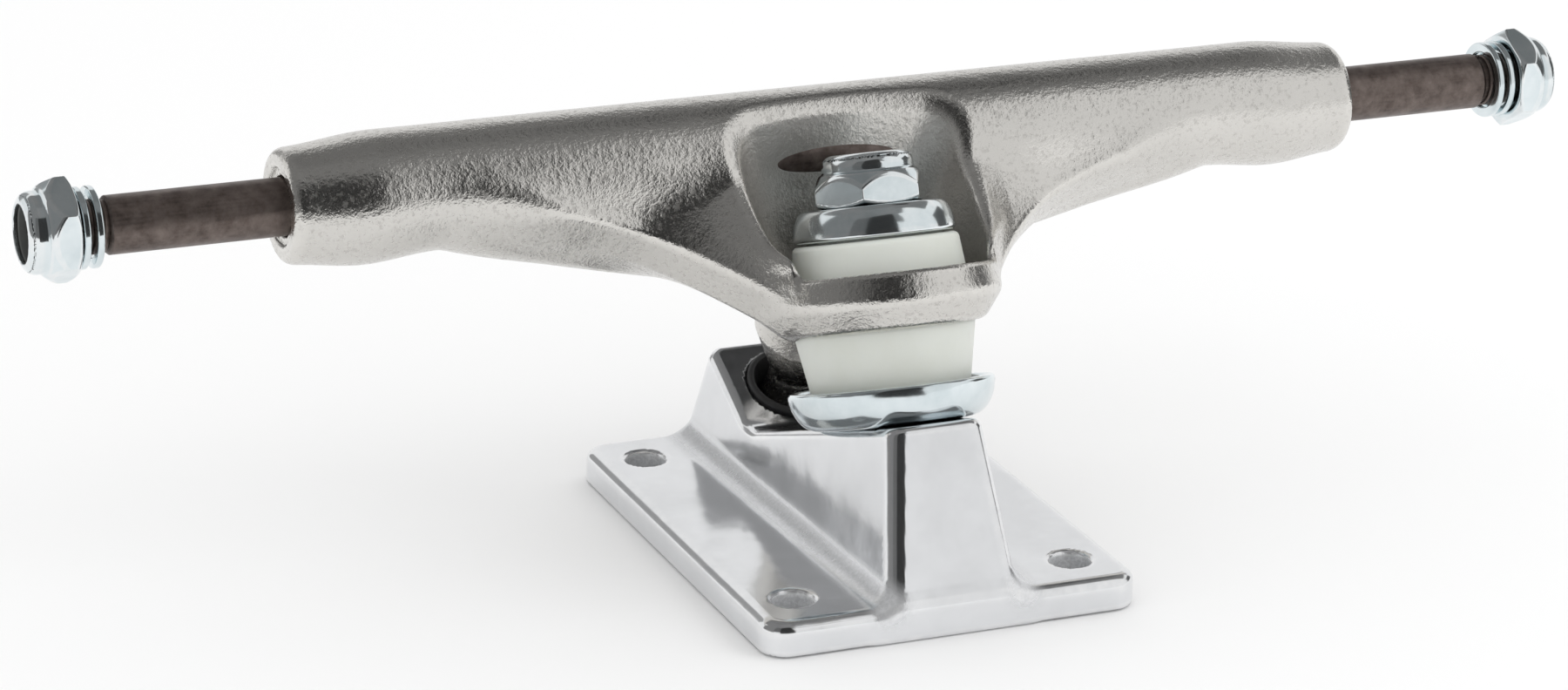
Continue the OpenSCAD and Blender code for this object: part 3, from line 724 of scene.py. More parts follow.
class Finish:
    """A material under construction, with its object coordinates and its surface shader."""

    def __init__(self, name, line=None):
        self.material = bpy.data.materials.new(name + FINISH_SUFFIX)
        self.material.use_nodes = True
        self.tree = self.material.node_tree
        self.colours = bpy.context.scene.truck_colours
        self.vector = add_node(self.tree, "ShaderNodeTexCoord").outputs["Object"]
        if line is not None:
            turn = line.matrix().inverted()
            self.vector = result(self.tree, "ShaderNodeMapping", {
                "Vector": self.vector, "Rotation": turn.to_euler(), "Location": turn.translation})
        self.edge = self.mask(EDGE_ATTRIBUTE)

    def mask(self, attribute):
        """A value that is stored on the mesh."""
        return add_node(self.tree, "ShaderNodeAttribute", attribute_name=attribute).outputs["Fac"]

    def noise(self, *settings):
        """A noise over the object."""
        return noise(self.tree, self.vector, *settings)

    def effect(self, name, values):
        """Places a shared effect's group, and returns its outputs."""
        inputs = {"Vector": self.vector, **values}
        group = bpy.data.node_groups.get(name) or GROUPS[name]()
        return add_node(self.tree, "ShaderNodeGroup", inputs, node_tree=group).outputs

    def marks(self, rate):
        """Patches and streaks of handling."""
        return self.effect("Handling marks", {"Patches per metre": rate}).values()

    def worn(self, amount, edge=None):
        """Wear along the edges."""
        edge = self.edge if edge is None else edge
        return self.effect("Edge wear", {"Edge": edge, "Amount": amount})["Worn"]

    def layered(self, tone, *layers):
        """A colour under layers, each a mask, its strength and the colour that it brings."""
        for mask, strength, over in layers:
            made = add_node(self.tree, "ShaderNodeMix", {0: math_node(self.tree, "MULTIPLY", mask, strength)},
                            data_type="RGBA")
            for socket, value in ((made.inputs[6], tone), (made.inputs[7], over)):
                linked = isinstance(value, bpy.types.NodeSocket)
                put(self.tree, socket, value if linked else (*value, 1))
            tone = made.outputs[2]
        return tone

    def total(self, base, *parts):
        """A value with weighted masks added to it."""
        for mask, weight in parts:
            base = math_node(self.tree, "MULTIPLY_ADD", mask, weight, base)
        return base

    def bumped(self, *layers):
        """A normal bumped by layers, each a height, its reach in millimetres and its strength."""
        normal = {}
        for height, reach, strength in layers:
            inputs = {"Height": height, "Distance": reach * MM, "Strength": strength, **normal}
            normal = {"Normal": result(self.tree, "ShaderNodeBump", inputs)}
        return normal["Normal"]

    def ended(self, **values):
        """Sets or links the surface's sockets, by their names in lower case, and returns the material."""
        surface = self.tree.nodes["Principled BSDF"]
        names = {socket.name.lower().replace(" ", "_"): socket for socket in surface.inputs}
        for key, value in values.items():
            put(self.tree, names[key], value)
        return self.material


def polished_aluminium(name):
    """Mirror-polished casting with faint waves, smudges and polishing lines."""
    made = Finish(name)
    base, foot = made.colours.polished, made.mask(RAW_SKIN_AND_LIGHT_ATTRIBUTE)
    patches, streaks = made.marks(70.0)
    raw = math_node(made.tree, "MULTIPLY", foot, ramp(made.tree, made.noise(2200.0, 3.0, 0.6), 0.30, 0.60))
    tone = made.layered(base, (patches, 1, scaled(base, 0.93)), (raw, 1, scaled(base, 0.72)),
                        (made.worn(0.6), 1, (0.9, 0.9, 0.9)))
    rough = made.total(0.11, (patches, 0.06), (streaks, 0.03), (foot, 0.22))
    normal = made.bumped((made.noise(130.0, 1.0), 0.10, 0.9), (made.noise(520.0, 1.0), 0.010, 0.8),
                         (raw, 0.03, 0.5), (streaks, 0.0012, 0.6))
    return made.ended(base_color=tone, metallic=made.total(1.0, (foot, -0.7)), roughness=rough, normal=normal)


def cast_aluminium(name):
    """Raw cast aluminium with a coarse grain, smoother along its edges and rougher in the window, whose walls are
    also painted lighter as painted light for the pocket's shade.
    """
    made = Finish(name)
    base, hollow = made.colours.cast, made.mask(RAW_SKIN_AND_LIGHT_ATTRIBUTE)
    grain, pits = made.effect("Casting grain", {"Grains per metre": 1250.0}).values()
    patches, _ = made.marks(45.0)
    worn = made.worn(0.9)
    # The hollow layer paints the window's walls lighter: painted light, standing in for light that the pocket
    # doesn't get.
    tone = made.layered(base, (pits, 0.22, made.colours.cast_pit), (patches, 0.25, scaled(base, 0.8)),
                        (worn, 0.8, scaled(base, 1.12)), (hollow, 0.2, scaled(base, 1.2)))
    rough = made.total(0.20, (pits, 0.16), (worn, -0.08), (hollow, 0.08))
    return made.ended(base_color=tone, metallic=made.total(1.0, (hollow, -0.15)), roughness=rough,
                      normal=made.bumped((grain, 0.12, 0.7)))


def dark_steel(name):
    """Dark oxide on a drawn bar, with lines along it and thin along its edges."""
    made = Finish(name)
    base, thin = made.colours.axle, made.colours.axle_worn
    patches, streaks = made.marks(45.0)
    lines = ramp(made.tree, streaks, 0.35, 0.65)
    worn = made.worn(1.0, ramp(made.tree, made.edge, 0.4, 1.0))
    tone = made.layered(scaled(base, 0.75), (lines, 1, scaled(base, 1.3)), (patches, 0.12, thin),
                        (worn, 1, thin))
    return made.ended(base_color=tone, metallic=0.75, roughness=made.total(0.34, (lines, 0.14)),
                      normal=made.bumped((streaks, 0.02, 0.6)))


def plain_steel(name):
    """Plain turned steel of the kingpin."""
    made = Finish(name, kingpin)
    base = made.colours.kingpin
    rings = made.effect("Turning rings", {"Rings per metre": 3000.0})["Height"]
    patches, _ = made.marks(160.0)
    return made.ended(base_color=made.layered(base, (patches, 1, scaled(base, 0.7))), metallic=1.0,
                      roughness=made.total(0.22, (patches, 0.18)), normal=made.bumped((rings, 0.01, 0.4)))


def zinc_plate(name):
    """Bright zinc plate, cool in tone, with dull patches and rubbed edges."""
    made = Finish(name)
    patches, _ = made.marks(170.0)
    tone = made.layered(made.colours.zinc, (patches, 0.6, made.colours.zinc_dull),
                        (made.worn(0.8), 1, (0.87, 0.88, 0.88)))
    return made.ended(base_color=tone, metallic=1.0, roughness=made.total(0.10, (patches, 0.07)),
                      normal=made.bumped((made.noise(900.0, 2.0), 0.012, 0.6)))


def urethane(name):
    """Off-white cast urethane, slightly see-through, with a satin skin."""
    made = Finish(name)
    base = made.colours.urethane
    handled = [part * factor for part, factor in zip(base, (0.90, 0.90, 0.86))]
    patches, _ = made.marks(140.0)
    tone = made.layered(base, (patches, 0.35, handled), (made.worn(0.5), 1, scaled(base, 1.06)))
    return made.ended(base_color=tone, roughness=made.total(0.36, (patches, 0.14)),
                      normal=made.bumped((made.noise(2600.0, 3.0), 0.02, 0.35)), subsurface_weight=0.35,
                      subsurface_radius=(1.0, 0.95, 0.8), subsurface_scale=1.6 * MM)


def moulded(name, base, roughness):
    """A moulded plastic or urethane with a fine skin texture."""
    made = Finish(name)
    patches, _ = made.marks(200.0)
    tone = made.layered(base, (patches, 1, scaled(base, 0.75)), (made.worn(0.7), 0.5, scaled(base, 1.8)))
    return made.ended(base_color=tone, roughness=made.total(roughness, (patches, 0.15)),
                      normal=made.bumped((made.noise(3000.0, 2.0), 0.02, 0.4)))


MATERIALS = {
    "polished_aluminium": polished_aluminium,
    "cast_aluminium": cast_aluminium,
    "axle_steel": dark_steel,
    "kingpin_steel": plain_steel,
    "zinc_steel": zinc_plate,
    "bushing_urethane": urethane,
    "pivot_urethane": lambda name: moulded(name, bpy.context.scene.truck_colours.cup, 0.42),
    "nylon": lambda name: moulded(name, bpy.context.scene.truck_colours.nylon, 0.38),
}


def material(slot):
    """The material of one of the record's slots, made when it is first asked for."""
    return bpy.data.materials.get(slot + FINISH_SUFFIX) or MATERIALS[slot](slot)


# Forms of the cast pieces

HEX_SIDES = 6
CLEARANCE = 0.1 * MM
BORE_EDGE = 0.3 * MM
SEAT_EDGE = 0.4 * MM
FINE_EDGE = 0.15 * MM
GROOVE_EDGE = 0.1 * MM
COLLAR_FILLET = 0.35 * MM
BALL_FILLET = 0.8 * MM
RIM_RUN = 6 * MM
HOLE_REACH = 12 * MM


def hexagon(x, y, across_flats):
    """Distance to a hexagonal bar along local Z, with corners on local X."""
    made = None
    for i in range(HEX_SIDES // 2):
        turn = math.pi * (i + 0.5) / (HEX_SIDES // 2)
        flat = np.abs(x * math.cos(turn) + y * math.sin(turn)) - across_flats / 2
        made = flat if made is None else np.maximum(made, flat)
    return made


RAW_SHARE = 0.6
HOLE_FADE = 0.25


def baseplate_form(s, hardware):
    """Plate, tower, kingpin seat, pivot housing and bores."""
    holes = MOUNTS["deck_holes"]["dims"]
    hole_x, hole_y = holes["spacing_x_mm"] / 2 * MM, holes["spacing_y_mm"] / 2 * MM
    foot_z = s.plate_t / 2
    turn = (s.tower_back_w - s.tower_front_w) / 2 / s.plate_l
    middle = (s.tower_back_w + s.tower_front_w) / 4

    def tower_walls(x, y, z):
        side = np.abs(x) - middle - y * turn + (z - s.plate_t) * math.tan(s.tower_draft)
        side = side * math.cos(s.tower_draft)
        front = (-s.plate_l / 2 - y + (z - foot_z) * math.tan(s.front_lean)) * math.cos(s.front_lean)
        back = (y - s.plate_l / 2 + (z - foot_z) * math.tan(s.back_lean)) * math.cos(s.back_lean)
        return side, common(side, np.maximum(front, back), s.tower_edge_r)

    def raw_mask(x, y, z):
        reach = np.hypot(z - s.plate_t, tower_walls(x, y, z)[0])
        strip = 1 - ease((reach - s.raw_near) / (s.raw_far - s.raw_near))
        return np.maximum(strip * RAW_SHARE, 1 - deck_holes(x, y) / (HOLE_FADE * MM))

    def deck_holes(x, y):
        return np.hypot(np.abs(x) - hole_x, np.abs(y) - hole_y) - s.hole_d / 2

    def form(x, y, z):
        x_in, y_in = np.abs(x) - s.plate_w / 2 + s.corner_r, np.abs(y) - s.plate_l / 2 + s.corner_r
        outline = (np.hypot(np.maximum(x_in, 0), np.maximum(y_in, 0)) - s.corner_r
                   + np.minimum(np.maximum(x_in, y_in), 0))
        plate = common(common(outline, z - s.plate_t, s.edge_r), -z, s.foot_edge_r)
        radius_k, height_k = kingpin.polar(x, y, z)
        radius_p, height_p = pivot.polar(x, y, z)
        mouth = height_p - s.mouth_height
        top = join(height_k, mouth, s.valley_r)
        tower = common(tower_walls(x, y, z)[1], top, s.top_edge_r)
        made = join(plate, tower, s.fillet_r)
        made = common(common(made, outline, s.foot_edge_r), -z, s.foot_edge_r)
        made = cut(made, deck_holes(x, y), s.hole_chamfer)
        made = cut(made, radius_k - hardware.kingpin_d / 2 - CLEARANCE, BORE_EDGE)
        local = kingpin_local(x, y, z)
        flats = hexagon(local[1], local[0], hardware.kingpin_af + CLEARANCE)
        made = cut(made, np.maximum(flats, height_k + s.head_depth), BORE_EDGE)
        socket = np.maximum(radius_p - s.cup_d / 2, s.mouth_height - s.socket_depth - height_p)
        return cut(made, socket, BORE_EDGE)
    return form, raw_mask


def kingpin_local(x, y, z):
    """Coordinates across the kingpin: along X, and along its third axis."""
    dx, dy, dz = (value - origin for value, origin in zip((x, y, z), kingpin.origin))
    return dx, dx * kingpin.third[0] + dy * kingpin.third[1] + dz * kingpin.third[2]


WALL_POWER = 3.0
REACH_POWER = 3.3
KEEL_POWER = 0.78
LEDGE_POWER = 1.5
BLEND_RATE = 2.4
SOFT_START = 0.06
LEAST_YOKE = 0.004


def hanger_section(s, x):
    """The arm's circle, and the circles that the yoke is wrapped round, at distances from the centre."""
    half_w = s.hanger_w / 2
    bulge_x = (half_w + s.neck_x) / 2
    top = mix(s.arm_top, s.end_r, ease((x - half_w + s.taper_l) / s.taper_l))
    low = mix(s.arm_depth, s.neck_r, ease((x - s.yoke_x) / (s.neck_x - s.yoke_x)))
    bulging = mix(s.neck_r, s.bulge_r, ease((x - s.neck_x) / (bulge_x - s.neck_x)))
    ending = mix(s.bulge_r, s.end_r, ease((x - bulge_x) / (half_w - bulge_x)))
    low = np.where(x > bulge_x, ending, np.where(x > s.neck_x, bulging, low))
    arm_r, arm_z = (top + low) / 2, (top - low) / 2
    yoke = np.clip((s.neck_x - x) / (s.neck_x - s.yoke_x), LEAST_YOKE, 1)
    soft_yoke = yoke * yoke * (1 + SOFT_START) / (yoke + SOFT_START)
    blend = ease(yoke * BLEND_RATE)
    near = np.clip((s.crease_x - x) / (s.crease_x - s.wall_x), 0, 1)
    core_r = arm_r - s.arm_inset * blend
    wall_r = mix(core_r, s.wall_r, blend)
    wall_y = wall_r - core_r - (s.yoke_reach - core_r) * near ** WALL_POWER
    wall_z = arm_z - s.yoke_drop * ease(near)
    ledge_r = mix(arm_r, s.crease_r, blend)
    ledge_y = ledge_r - arm_r - s.ledge_out * blend * (1 - near)
    ledge_y = ledge_y - (s.ledge_reach - arm_r) * near ** REACH_POWER
    ledge_y = ledge_y - s.ledge_lead * ease((s.lead_x - x) / (s.lead_x - s.wall_x))
    ledge_z = arm_z - s.ledge_drop * soft_yoke ** LEDGE_POWER
    keel_r = mix(arm_r, s.keel_r, blend)
    depth = mix(mix(low, s.keel_depth, soft_yoke ** KEEL_POWER), s.stem_keel_depth,
                ease((s.stem_keel_x - x) / (s.stem_keel_x - s.yoke_x / 2)))
    bevel = s.ledge_bevel * blend
    wrapped = [(0 * x, arm_z, core_r), (wall_y, wall_z, wall_r), (ledge_y, ledge_z, ledge_r),
               (ledge_y + bevel, ledge_z - bevel, mix(arm_r, s.bevel_r, blend)),
               (s.keel_back * blend, keel_r - depth, keel_r)]
    return arm_z, arm_r, wrapped, s.arm_fillet * blend


def hanger_form(s, hardware):
    """Arms, yoke, bushing ring, wrench window and pivot stem in one casting."""
    half_w = s.hanger_w / 2
    top_seat = s.web_height + s.ring_web
    foot, lip = s.web_height - s.seat_depth, top_seat + s.lip_h
    crease = (foot + lip) / 2
    ring_corners = [(s.ring_foot_d / 2, foot), (s.ring_d / 2, crease), (s.lip_d / 2, lip)]
    stem_slope = (s.stem_d / 2 - s.waist_r) / (s.stem_cone_height - s.waist_height)

    def window_form(x, y, z):
        y_a, z_a = y - axle_centre[1], z - axle_centre[2]
        radius_k, height_k = kingpin.polar(x, y, z)
        well = radius_k - s.pocket_d / 2 - (height_k - top_seat) * s.window_flare
        well = well / math.hypot(1, s.window_flare)
        lean_y = y_a * math.cos(s.window_lean) + z_a * math.sin(s.window_lean)
        wall_y = s.axle_show - hardware.axle_d / 2 - s.window_wall_r
        wall = np.hypot(x, lean_y - wall_y) - s.window_wall_r
        return np.maximum(common(well, wall, s.window_corner_r), top_seat - height_k)

    # Mask of the window's walls, where the finish is rougher and painted lighter as painted light.
    def window_skin_and_light_mask(x, y, z):
        return 1 - ease(np.abs(window_form(x, y, z)) / s.window_skin_and_light_fade)

    def form(x, y, z):
        y_a, z_a = y - axle_centre[1], z - axle_centre[2]
        arm_z, arm_r, circles, fillet = hanger_section(s, np.abs(x))
        arms = join(np.hypot(y_a, z_a - arm_z) - arm_r, wrapped_circles(y_a, z_a, circles), fillet)
        arms = common(arms, np.abs(x) - half_w, s.end_round_r)
        radius_k, height_k = kingpin.polar(x, y, z)
        ring = turned_form(radius_k, height_k, ring_corners, s.ring_edge_r)
        made = join(arms, ring, s.ring_blend_r)
        radius_p, height_p = pivot.polar(x, y, z)
        ball = np.hypot(radius_p, height_p) - s.ball_d / 2
        climb = np.clip(height_p - s.waist_height, 0, s.stem_cone_height - s.waist_height)
        cone_r = s.waist_r + climb * stem_slope
        stem = np.maximum((radius_p - cone_r) / math.hypot(1, stem_slope), height_p - s.stem_height)
        stem = join(np.maximum(stem, -height_p), ball, BALL_FILLET)
        made = join(made, stem, s.stem_blend_r)
        rim = mix(s.lip_rim_r, s.window_rim_r, ease((height_k - lip) / RIM_RUN))
        made = cut(made, window_form(x, y, z), rim)
        seat = np.maximum(radius_k - s.seat_d / 2, height_k - s.web_height)
        made = cut(made, seat, SEAT_EDGE)
        hole = np.maximum(radius_k - s.hole_d / 2, np.abs(height_k - crease) - HOLE_REACH)
        made = cut(made, hole, SEAT_EDGE)
        radius_a = np.hypot(y_a, z_a)
        recess = np.maximum(radius_a - s.recess_d / 2, half_w - s.recess_depth - np.abs(x))
        made = cut(made, recess, BORE_EDGE)
        bore = np.maximum(radius_a - s.bore_d / 2, half_w - s.bore_depth - np.abs(x))
        return cut(made, bore, FINE_EDGE)
    return form, window_skin_and_light_mask


CHAMFER_ANGLE = math.radians(30)
DOME_ANGLE = math.radians(55)
CHAMFER_SLOPE = math.tan(CHAMFER_ANGLE)
DOME_SLOPE = math.tan(DOME_ANGLE)


def nut_form(s, across_flats, hex_h, collar_h, bore_d):
    """Hexagon with chamfered corners, and a round collar over its locking ring."""
    collar_r = (across_flats - s.collar_inset) / 2
    top = hex_h + collar_h

    def form(x, y, z):
        radius = np.hypot(x, y)
        flats = hexagon(x, y, across_flats)
        corner_low = (radius - across_flats / 2) * CHAMFER_SLOPE - z
        corner_high = (radius - across_flats / 2 + s.dome_inset) * DOME_SLOPE - (hex_h - z)
        ends = common(corner_low * math.cos(CHAMFER_ANGLE), corner_high * math.cos(DOME_ANGLE), s.nut_edge_r)
        hexa = common(common(flats, ends, s.nut_edge_r), np.maximum(-z, z - hex_h), s.nut_edge_r)
        collar = common(radius - collar_r, np.maximum(z - top, hex_h / 2 - z), s.collar_round)
        made = join(hexa, collar, COLLAR_FILLET)
        made = cut(made, radius - bore_d / 2, FINE_EDGE)
        groove_ends = np.maximum(hex_h - z, z - top + s.collar_lip)
        groove = np.maximum(radius - bore_d / 2 - s.insert_wall, groove_ends)
        return cut(made, groove, GROOVE_EDGE)
    return form


# Operators that build the pieces

CAST_STEP = 0.46 * MM
PLATE_STEP = 0.5 * MM
NUT_STEP = 0.17 * MM
HEX_REACH = 0.6
TIP = 0.8 * MM
TIP_SHARE = 0.6
TIP_EDGE = 0.1 * MM
RIDGE_EXCESS = 1.2
KINGPIN_THREAD_L = 14 * MM


class TRUCK_OT_baseplate(bpy.types.Operator):
    """Builds the polished baseplate"""

    bl_idname = "truck.baseplate"
    bl_label = "Baseplate"

    def execute(self, context):
        form, raw_mask = baseplate_form(context.scene.truck_baseplate, context.scene.truck_hardware)
        mesh = skin("baseplate_polished", form, *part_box("baseplate"), PLATE_STEP)
        mark_raw_skin_and_painted_light(mesh, raw_mask)
        place(mesh, "polished_aluminium", "base", ["baseplate"])
        return {"FINISHED"}


CUP_GAP = 0.05 * MM
CUP_WALL = 0.9 * MM
CUP_RIM_EDGE = 0.3 * MM
CUP_EDGE = 0.5 * MM
BOWL_STEP = 9


class TRUCK_OT_pivot_cup(bpy.types.Operator):
    """Builds the urethane pivot cup"""

    bl_idname = "truck.pivot_cup"
    bl_label = "Pivot cup"

    def execute(self, context):
        low, high, radius = pivot.span("pivot_cup")
        seat_r = context.scene.truck_hanger.ball_d / 2 + CUP_GAP
        turns = np.radians(range(0, -90, -BOWL_STEP))
        bowl = [(seat_r * math.cos(a), seat_r * math.sin(a), 0) for a in turns]
        corners = [(0, -seat_r, 0)] + bowl[::-1] + [
            (radius - CUP_WALL, high, CUP_RIM_EDGE), (radius, high, CUP_EDGE), (radius, low, CUP_EDGE),
            (0, low, 0)]
        mesh = turned("pivot_cup_urethane", corners, pivot, "pivot_urethane", closed=False)
        place(mesh, "pivot_urethane", "base", ["pivot_cup"])
        return {"FINISHED"}


SHANK_EDGE = 0.2 * MM
RUNOUT = 0.8 * MM
KINGPIN_TIP_L = TIP * 0.4
KINGPIN_RIDGE_SINK = 0.02 * MM


class TRUCK_OT_kingpin(bpy.types.Operator):
    """Builds the kingpin, its head and its thread"""

    bl_idname = "truck.kingpin"
    bl_label = "Kingpin"

    def execute(self, context):
        s = context.scene.truck_hardware
        low, high, _ = kingpin.span("kingpin")
        shank_r, root_r = s.kingpin_d / 2, s.kingpin_d / 2 - s.thread_depth
        start, head_top = high - KINGPIN_THREAD_L, low + s.head_h
        corners = [(0, head_top, 0), (shank_r, head_top, 0), (shank_r, start, SHANK_EDGE),
                   (root_r, start + RUNOUT, TIP_EDGE), (root_r, high - KINGPIN_TIP_L, TIP_EDGE),
                   (root_r - TIP * TIP_SHARE, high, TIP_EDGE), (0, high, 0)]
        shank = turned("kingpin_shank", corners, kingpin, "kingpin_steel", closed=False)
        place(shank, "kingpin_steel", "base", ["kingpin"])
        ridge = threaded("kingpin_thread", kingpin, start + s.thread_pitch, shank_r - KINGPIN_RIDGE_SINK,
                         high - start - TIP - s.thread_pitch * 2, "kingpin_steel")
        place(ridge, "kingpin_steel", "base")

        def head_form(x, y, z):
            radius = np.hypot(x, y)
            corner = ((radius - s.kingpin_af / 2) * CHAMFER_SLOPE - z) * math.cos(CHAMFER_ANGLE)
            sides = common(hexagon(y, x, s.kingpin_af), corner, s.nut_edge_r)
            return common(sides, np.maximum(-z, z - s.head_h), s.nut_edge_r)
        head = hexagonal_skin("kingpin_head", head_form, s.kingpin_af, s.head_h, NUT_STEP * 2)
        head.transform(kingpin.matrix(low))
        place(head, "kingpin_steel", "base")
        return {"FINISHED"}


def hexagonal_skin(name, form, across_flats, height, step):
    """A mesh over a hexagonal form that stands on its own origin."""
    reach = across_flats * HEX_REACH
    return skin(name, form, (-reach, -reach, 0), (reach, reach, height), step)


DISH_STEPS = 13
DISH_HOLE_EDGE = 0.3 * MM
DISH_RIM_EDGE = 0.55 * MM


def dish_corners(s, floor_r, rim_r, height, flip):
    """Profile of a pressed dish, from its hole out to its rim and back inside."""
    steps = np.radians(np.linspace(0, 90, DISH_STEPS))[:-1]
    outer = [(mix(floor_r, rim_r, math.sin(a)), height * (1 - math.cos(a)), 0) for a in steps]
    inner = [(mix(floor_r, rim_r - s.cup_t, math.sin(a)), mix(s.cup_t, height, 1 - math.cos(a)), 0)
             for a in steps]
    hole_r = s.cup_hole_d / 2
    corners = [(hole_r, s.cup_t, DISH_HOLE_EDGE), (hole_r, 0, DISH_HOLE_EDGE), *outer,
               (rim_r, height, DISH_RIM_EDGE), (rim_r - s.cup_t, height, DISH_RIM_EDGE), *inner[::-1]]
    return [(radius, -rise if flip else rise, r) for radius, rise, r in corners]


class TRUCK_OT_cup_washers(bpy.types.Operator):
    """Builds the two cup washers"""

    bl_idname = "truck.cup_washers"
    bl_label = "Cup washers"

    def execute(self, context):
        s = context.scene.truck_hardware
        for node, floor_d, flip in (("bottom_cup_washer", s.bottom_floor_d, False),
                                    ("top_cup_washer", s.top_floor_d, True)):
            low, high, radius = kingpin.span(node)
            corners = dish_corners(s, floor_d / 2, radius, high - low, flip)
            mesh = turned(node + "_plated", corners, kingpin, "zinc_steel", high if flip else low)
            place(mesh, "zinc_steel", "base", [node])
        return {"FINISHED"}


BUSHING_SPACING = 2.4 * MM
SIDE_SPAN = (0.2, 0.8)


def subdivided(corners):
    """A profile with plain points added along its long sides."""
    made = []
    for (r0, h0, rounding), (r1, h1, _) in zip(corners, corners[1:] + corners[:1]):
        made.append((r0, h0, rounding))
        steps = int(math.hypot(r1 - r0, h1 - h0) // BUSHING_SPACING)
        if steps > 1:
            made += [(mix(r0, r1, t), mix(h0, h1, t), 0) for t in np.linspace(*SIDE_SPAN, steps)]
    return made


class TRUCK_OT_bushings(bpy.types.Operator):
    """Builds the two bushings between the base and the hanger"""

    bl_idname = "truck.bushings"
    bl_label = "Bushings"

    def execute(self, context):
        s = context.scene.truck_hardware
        hole_r, r = s.cup_hole_d / 2, s.bushing_round
        low, high, radius = kingpin.span("bottom_bushing")
        bottom = [(hole_r, high, r / 3), (hole_r, low, r / 3), (s.bushing_foot_d / 2, low, r),
                  (radius, high - r * 2, r), (radius, high, r * 0.7)]
        self.add("bottom_bushing", bottom, low, high, "base", "hanger")
        low, high, radius = kingpin.span("top_bushing")
        shoulder = high - s.crown_h
        top = [(hole_r, high, r / 3), (hole_r, low, r / 3), (radius, low, r),
               (s.shoulder_d / 2, shoulder, r), (s.crown_d / 2, shoulder, r / 3), (s.crown_d / 2, high, r)]
        self.add("top_bushing", top, low, high, "hanger", "base")
        return {"FINISHED"}

    def add(self, node, corners, low, high, first, second):
        """One bushing, turned about the kingpin and fixed where it stands. The first and second bodies are not
        used.
        """
        mesh = turned(node + "_urethane", subdivided(corners), kingpin, "bushing_urethane")
        piece = place(mesh, "bushing_urethane", None, [node])
        tuple(kingpin.point(low))
        tuple(kingpin.point(high))
        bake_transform(piece)


class TRUCK_OT_hanger(bpy.types.Operator):
    """Builds the cast hanger"""

    bl_idname = "truck.hanger"
    bl_label = "Hanger"

    def execute(self, context):
        form, window_skin_and_light_mask = hanger_form(context.scene.truck_hanger, context.scene.truck_hardware)
        mesh = skin("hanger_cast", form, *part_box("hanger"), CAST_STEP)
        # Stores the window's mask, which the finish makes rougher and paints lighter as painted light.
        mark_raw_skin_and_painted_light(mesh, window_skin_and_light_mask)
        place(mesh, "cast_aluminium", "hanger", ["hanger"])
        return {"FINISHED"}


AXLE_RUNOUT = 0.6 * MM
AXLE_TIP_L = TIP * 0.5
AXLE_SHANK_EDGE = 0.15 * MM
AXLE_RIDGE_SINK = 0.05 * MM


class TRUCK_OT_axle(bpy.types.Operator):
    """Builds the axle and the threads on its ends"""

    bl_idname = "truck.axle"
    bl_label = "Axle"

    def execute(self, context):
        s = context.scene.truck_hardware
        line = stubs["right"]
        _, end, _ = line.span("axle")
        shank_r, root_r, start = s.axle_d / 2, s.axle_d / 2 - s.thread_depth, end - s.thread_l
        half = [(0, end, 0), (root_r - TIP * TIP_SHARE, end, TIP_EDGE), (root_r, end - AXLE_TIP_L, TIP_EDGE),
                (root_r, start + AXLE_RUNOUT, TIP_EDGE), (shank_r, start, AXLE_SHANK_EDGE)]
        corners = half + [(radius, -rise, r) for radius, rise, r in half[::-1]]
        place(turned("axle_bar", corners, line, "axle_steel", closed=False), "axle_steel", "hanger", ["axle"])
        for side, stub in stubs.items():
            ridge = threaded(f"axle_thread_{side}", stub, start + s.thread_pitch * 0.7,
                             shank_r - AXLE_RIDGE_SINK, s.thread_l - TIP - s.thread_pitch * 1.2, "axle_steel")
            place(ridge, "axle_steel", "hanger")
        return {"FINISHED"}


def flat_ring(name, line, node, hole_r, edge, slot, body):
    """A flat ring with rounded edges, in the place of a CAD node."""
    low, high, radius = line.span(node)
    corners = [(hole_r, high, edge), (hole_r, low, edge), (radius, low, edge), (radius, high, edge)]
    place(turned(name, corners, line, slot), slot, body, [node])


INSERT_EDGE = 0.25 * MM
KINGPIN_BORE_GAP = 0.1 * MM
AXLE_BORE_GAP = -0.02 * MM


class TRUCK_OT_nuts(bpy.types.Operator):
    """Builds the three lock nuts and their locking rings"""

    bl_idname = "truck.nuts"
    bl_label = "Lock nuts"

    def execute(self, context):
        s = context.scene.truck_hardware
        self.add("kingpin_nut", "kingpin_nut_insert", kingpin, "kingpin_nut", s.kingpin_af, s.kingpin_hex_h,
                 s.kingpin_d + KINGPIN_BORE_GAP, 0)
        for side, stub in stubs.items():
            turn = s.nut_turn if side == "right" else math.pi - s.nut_turn
            self.add(f"axle_nut_{side}", f"axle_nut_insert_{side}", stub, f"{side}_axle_nut", s.axle_af,
                     s.axle_hex_h, s.axle_d + AXLE_BORE_GAP, turn)
        return {"FINISHED"}

    def add(self, node, ring_node, line, body, across_flats, hex_h, bore_d, turn):
        """One nut on a line, with its locking ring."""
        low, high, _ = line.span(node)
        form = nut_form(bpy.context.scene.truck_hardware, across_flats, hex_h, high - low - hex_h, bore_d)
        nut = hexagonal_skin(node + "_plated", form, across_flats, high - low, NUT_STEP)
        nut.transform(line.matrix(low) @ Matrix.Rotation(turn, 4, "Z"))
        place(nut, "zinc_steel", body, [node])
        flat_ring(ring_node + "_nylon", line, ring_node, bore_d / 2, INSERT_EDGE, "nylon", body)


WASHER_EDGE = 0.28 * MM


class TRUCK_OT_speed_washers(bpy.types.Operator):
    """Builds the four speed washers"""

    bl_idname = "truck.speed_washers"
    bl_label = "Speed washers"

    def execute(self, context):
        hole_r = context.scene.truck_hardware.speed_washer_d / 2
        for side, stub in stubs.items():
            for where in ("outer", "inner"):
                node = f"speed_washer_{where}_{side}"
                flat_ring(node + "_plated", stub, node, hole_r, WASHER_EDGE, "zinc_steel",
                          f"{side}_{where}_washer")
        return {"FINISHED"}


# Stage

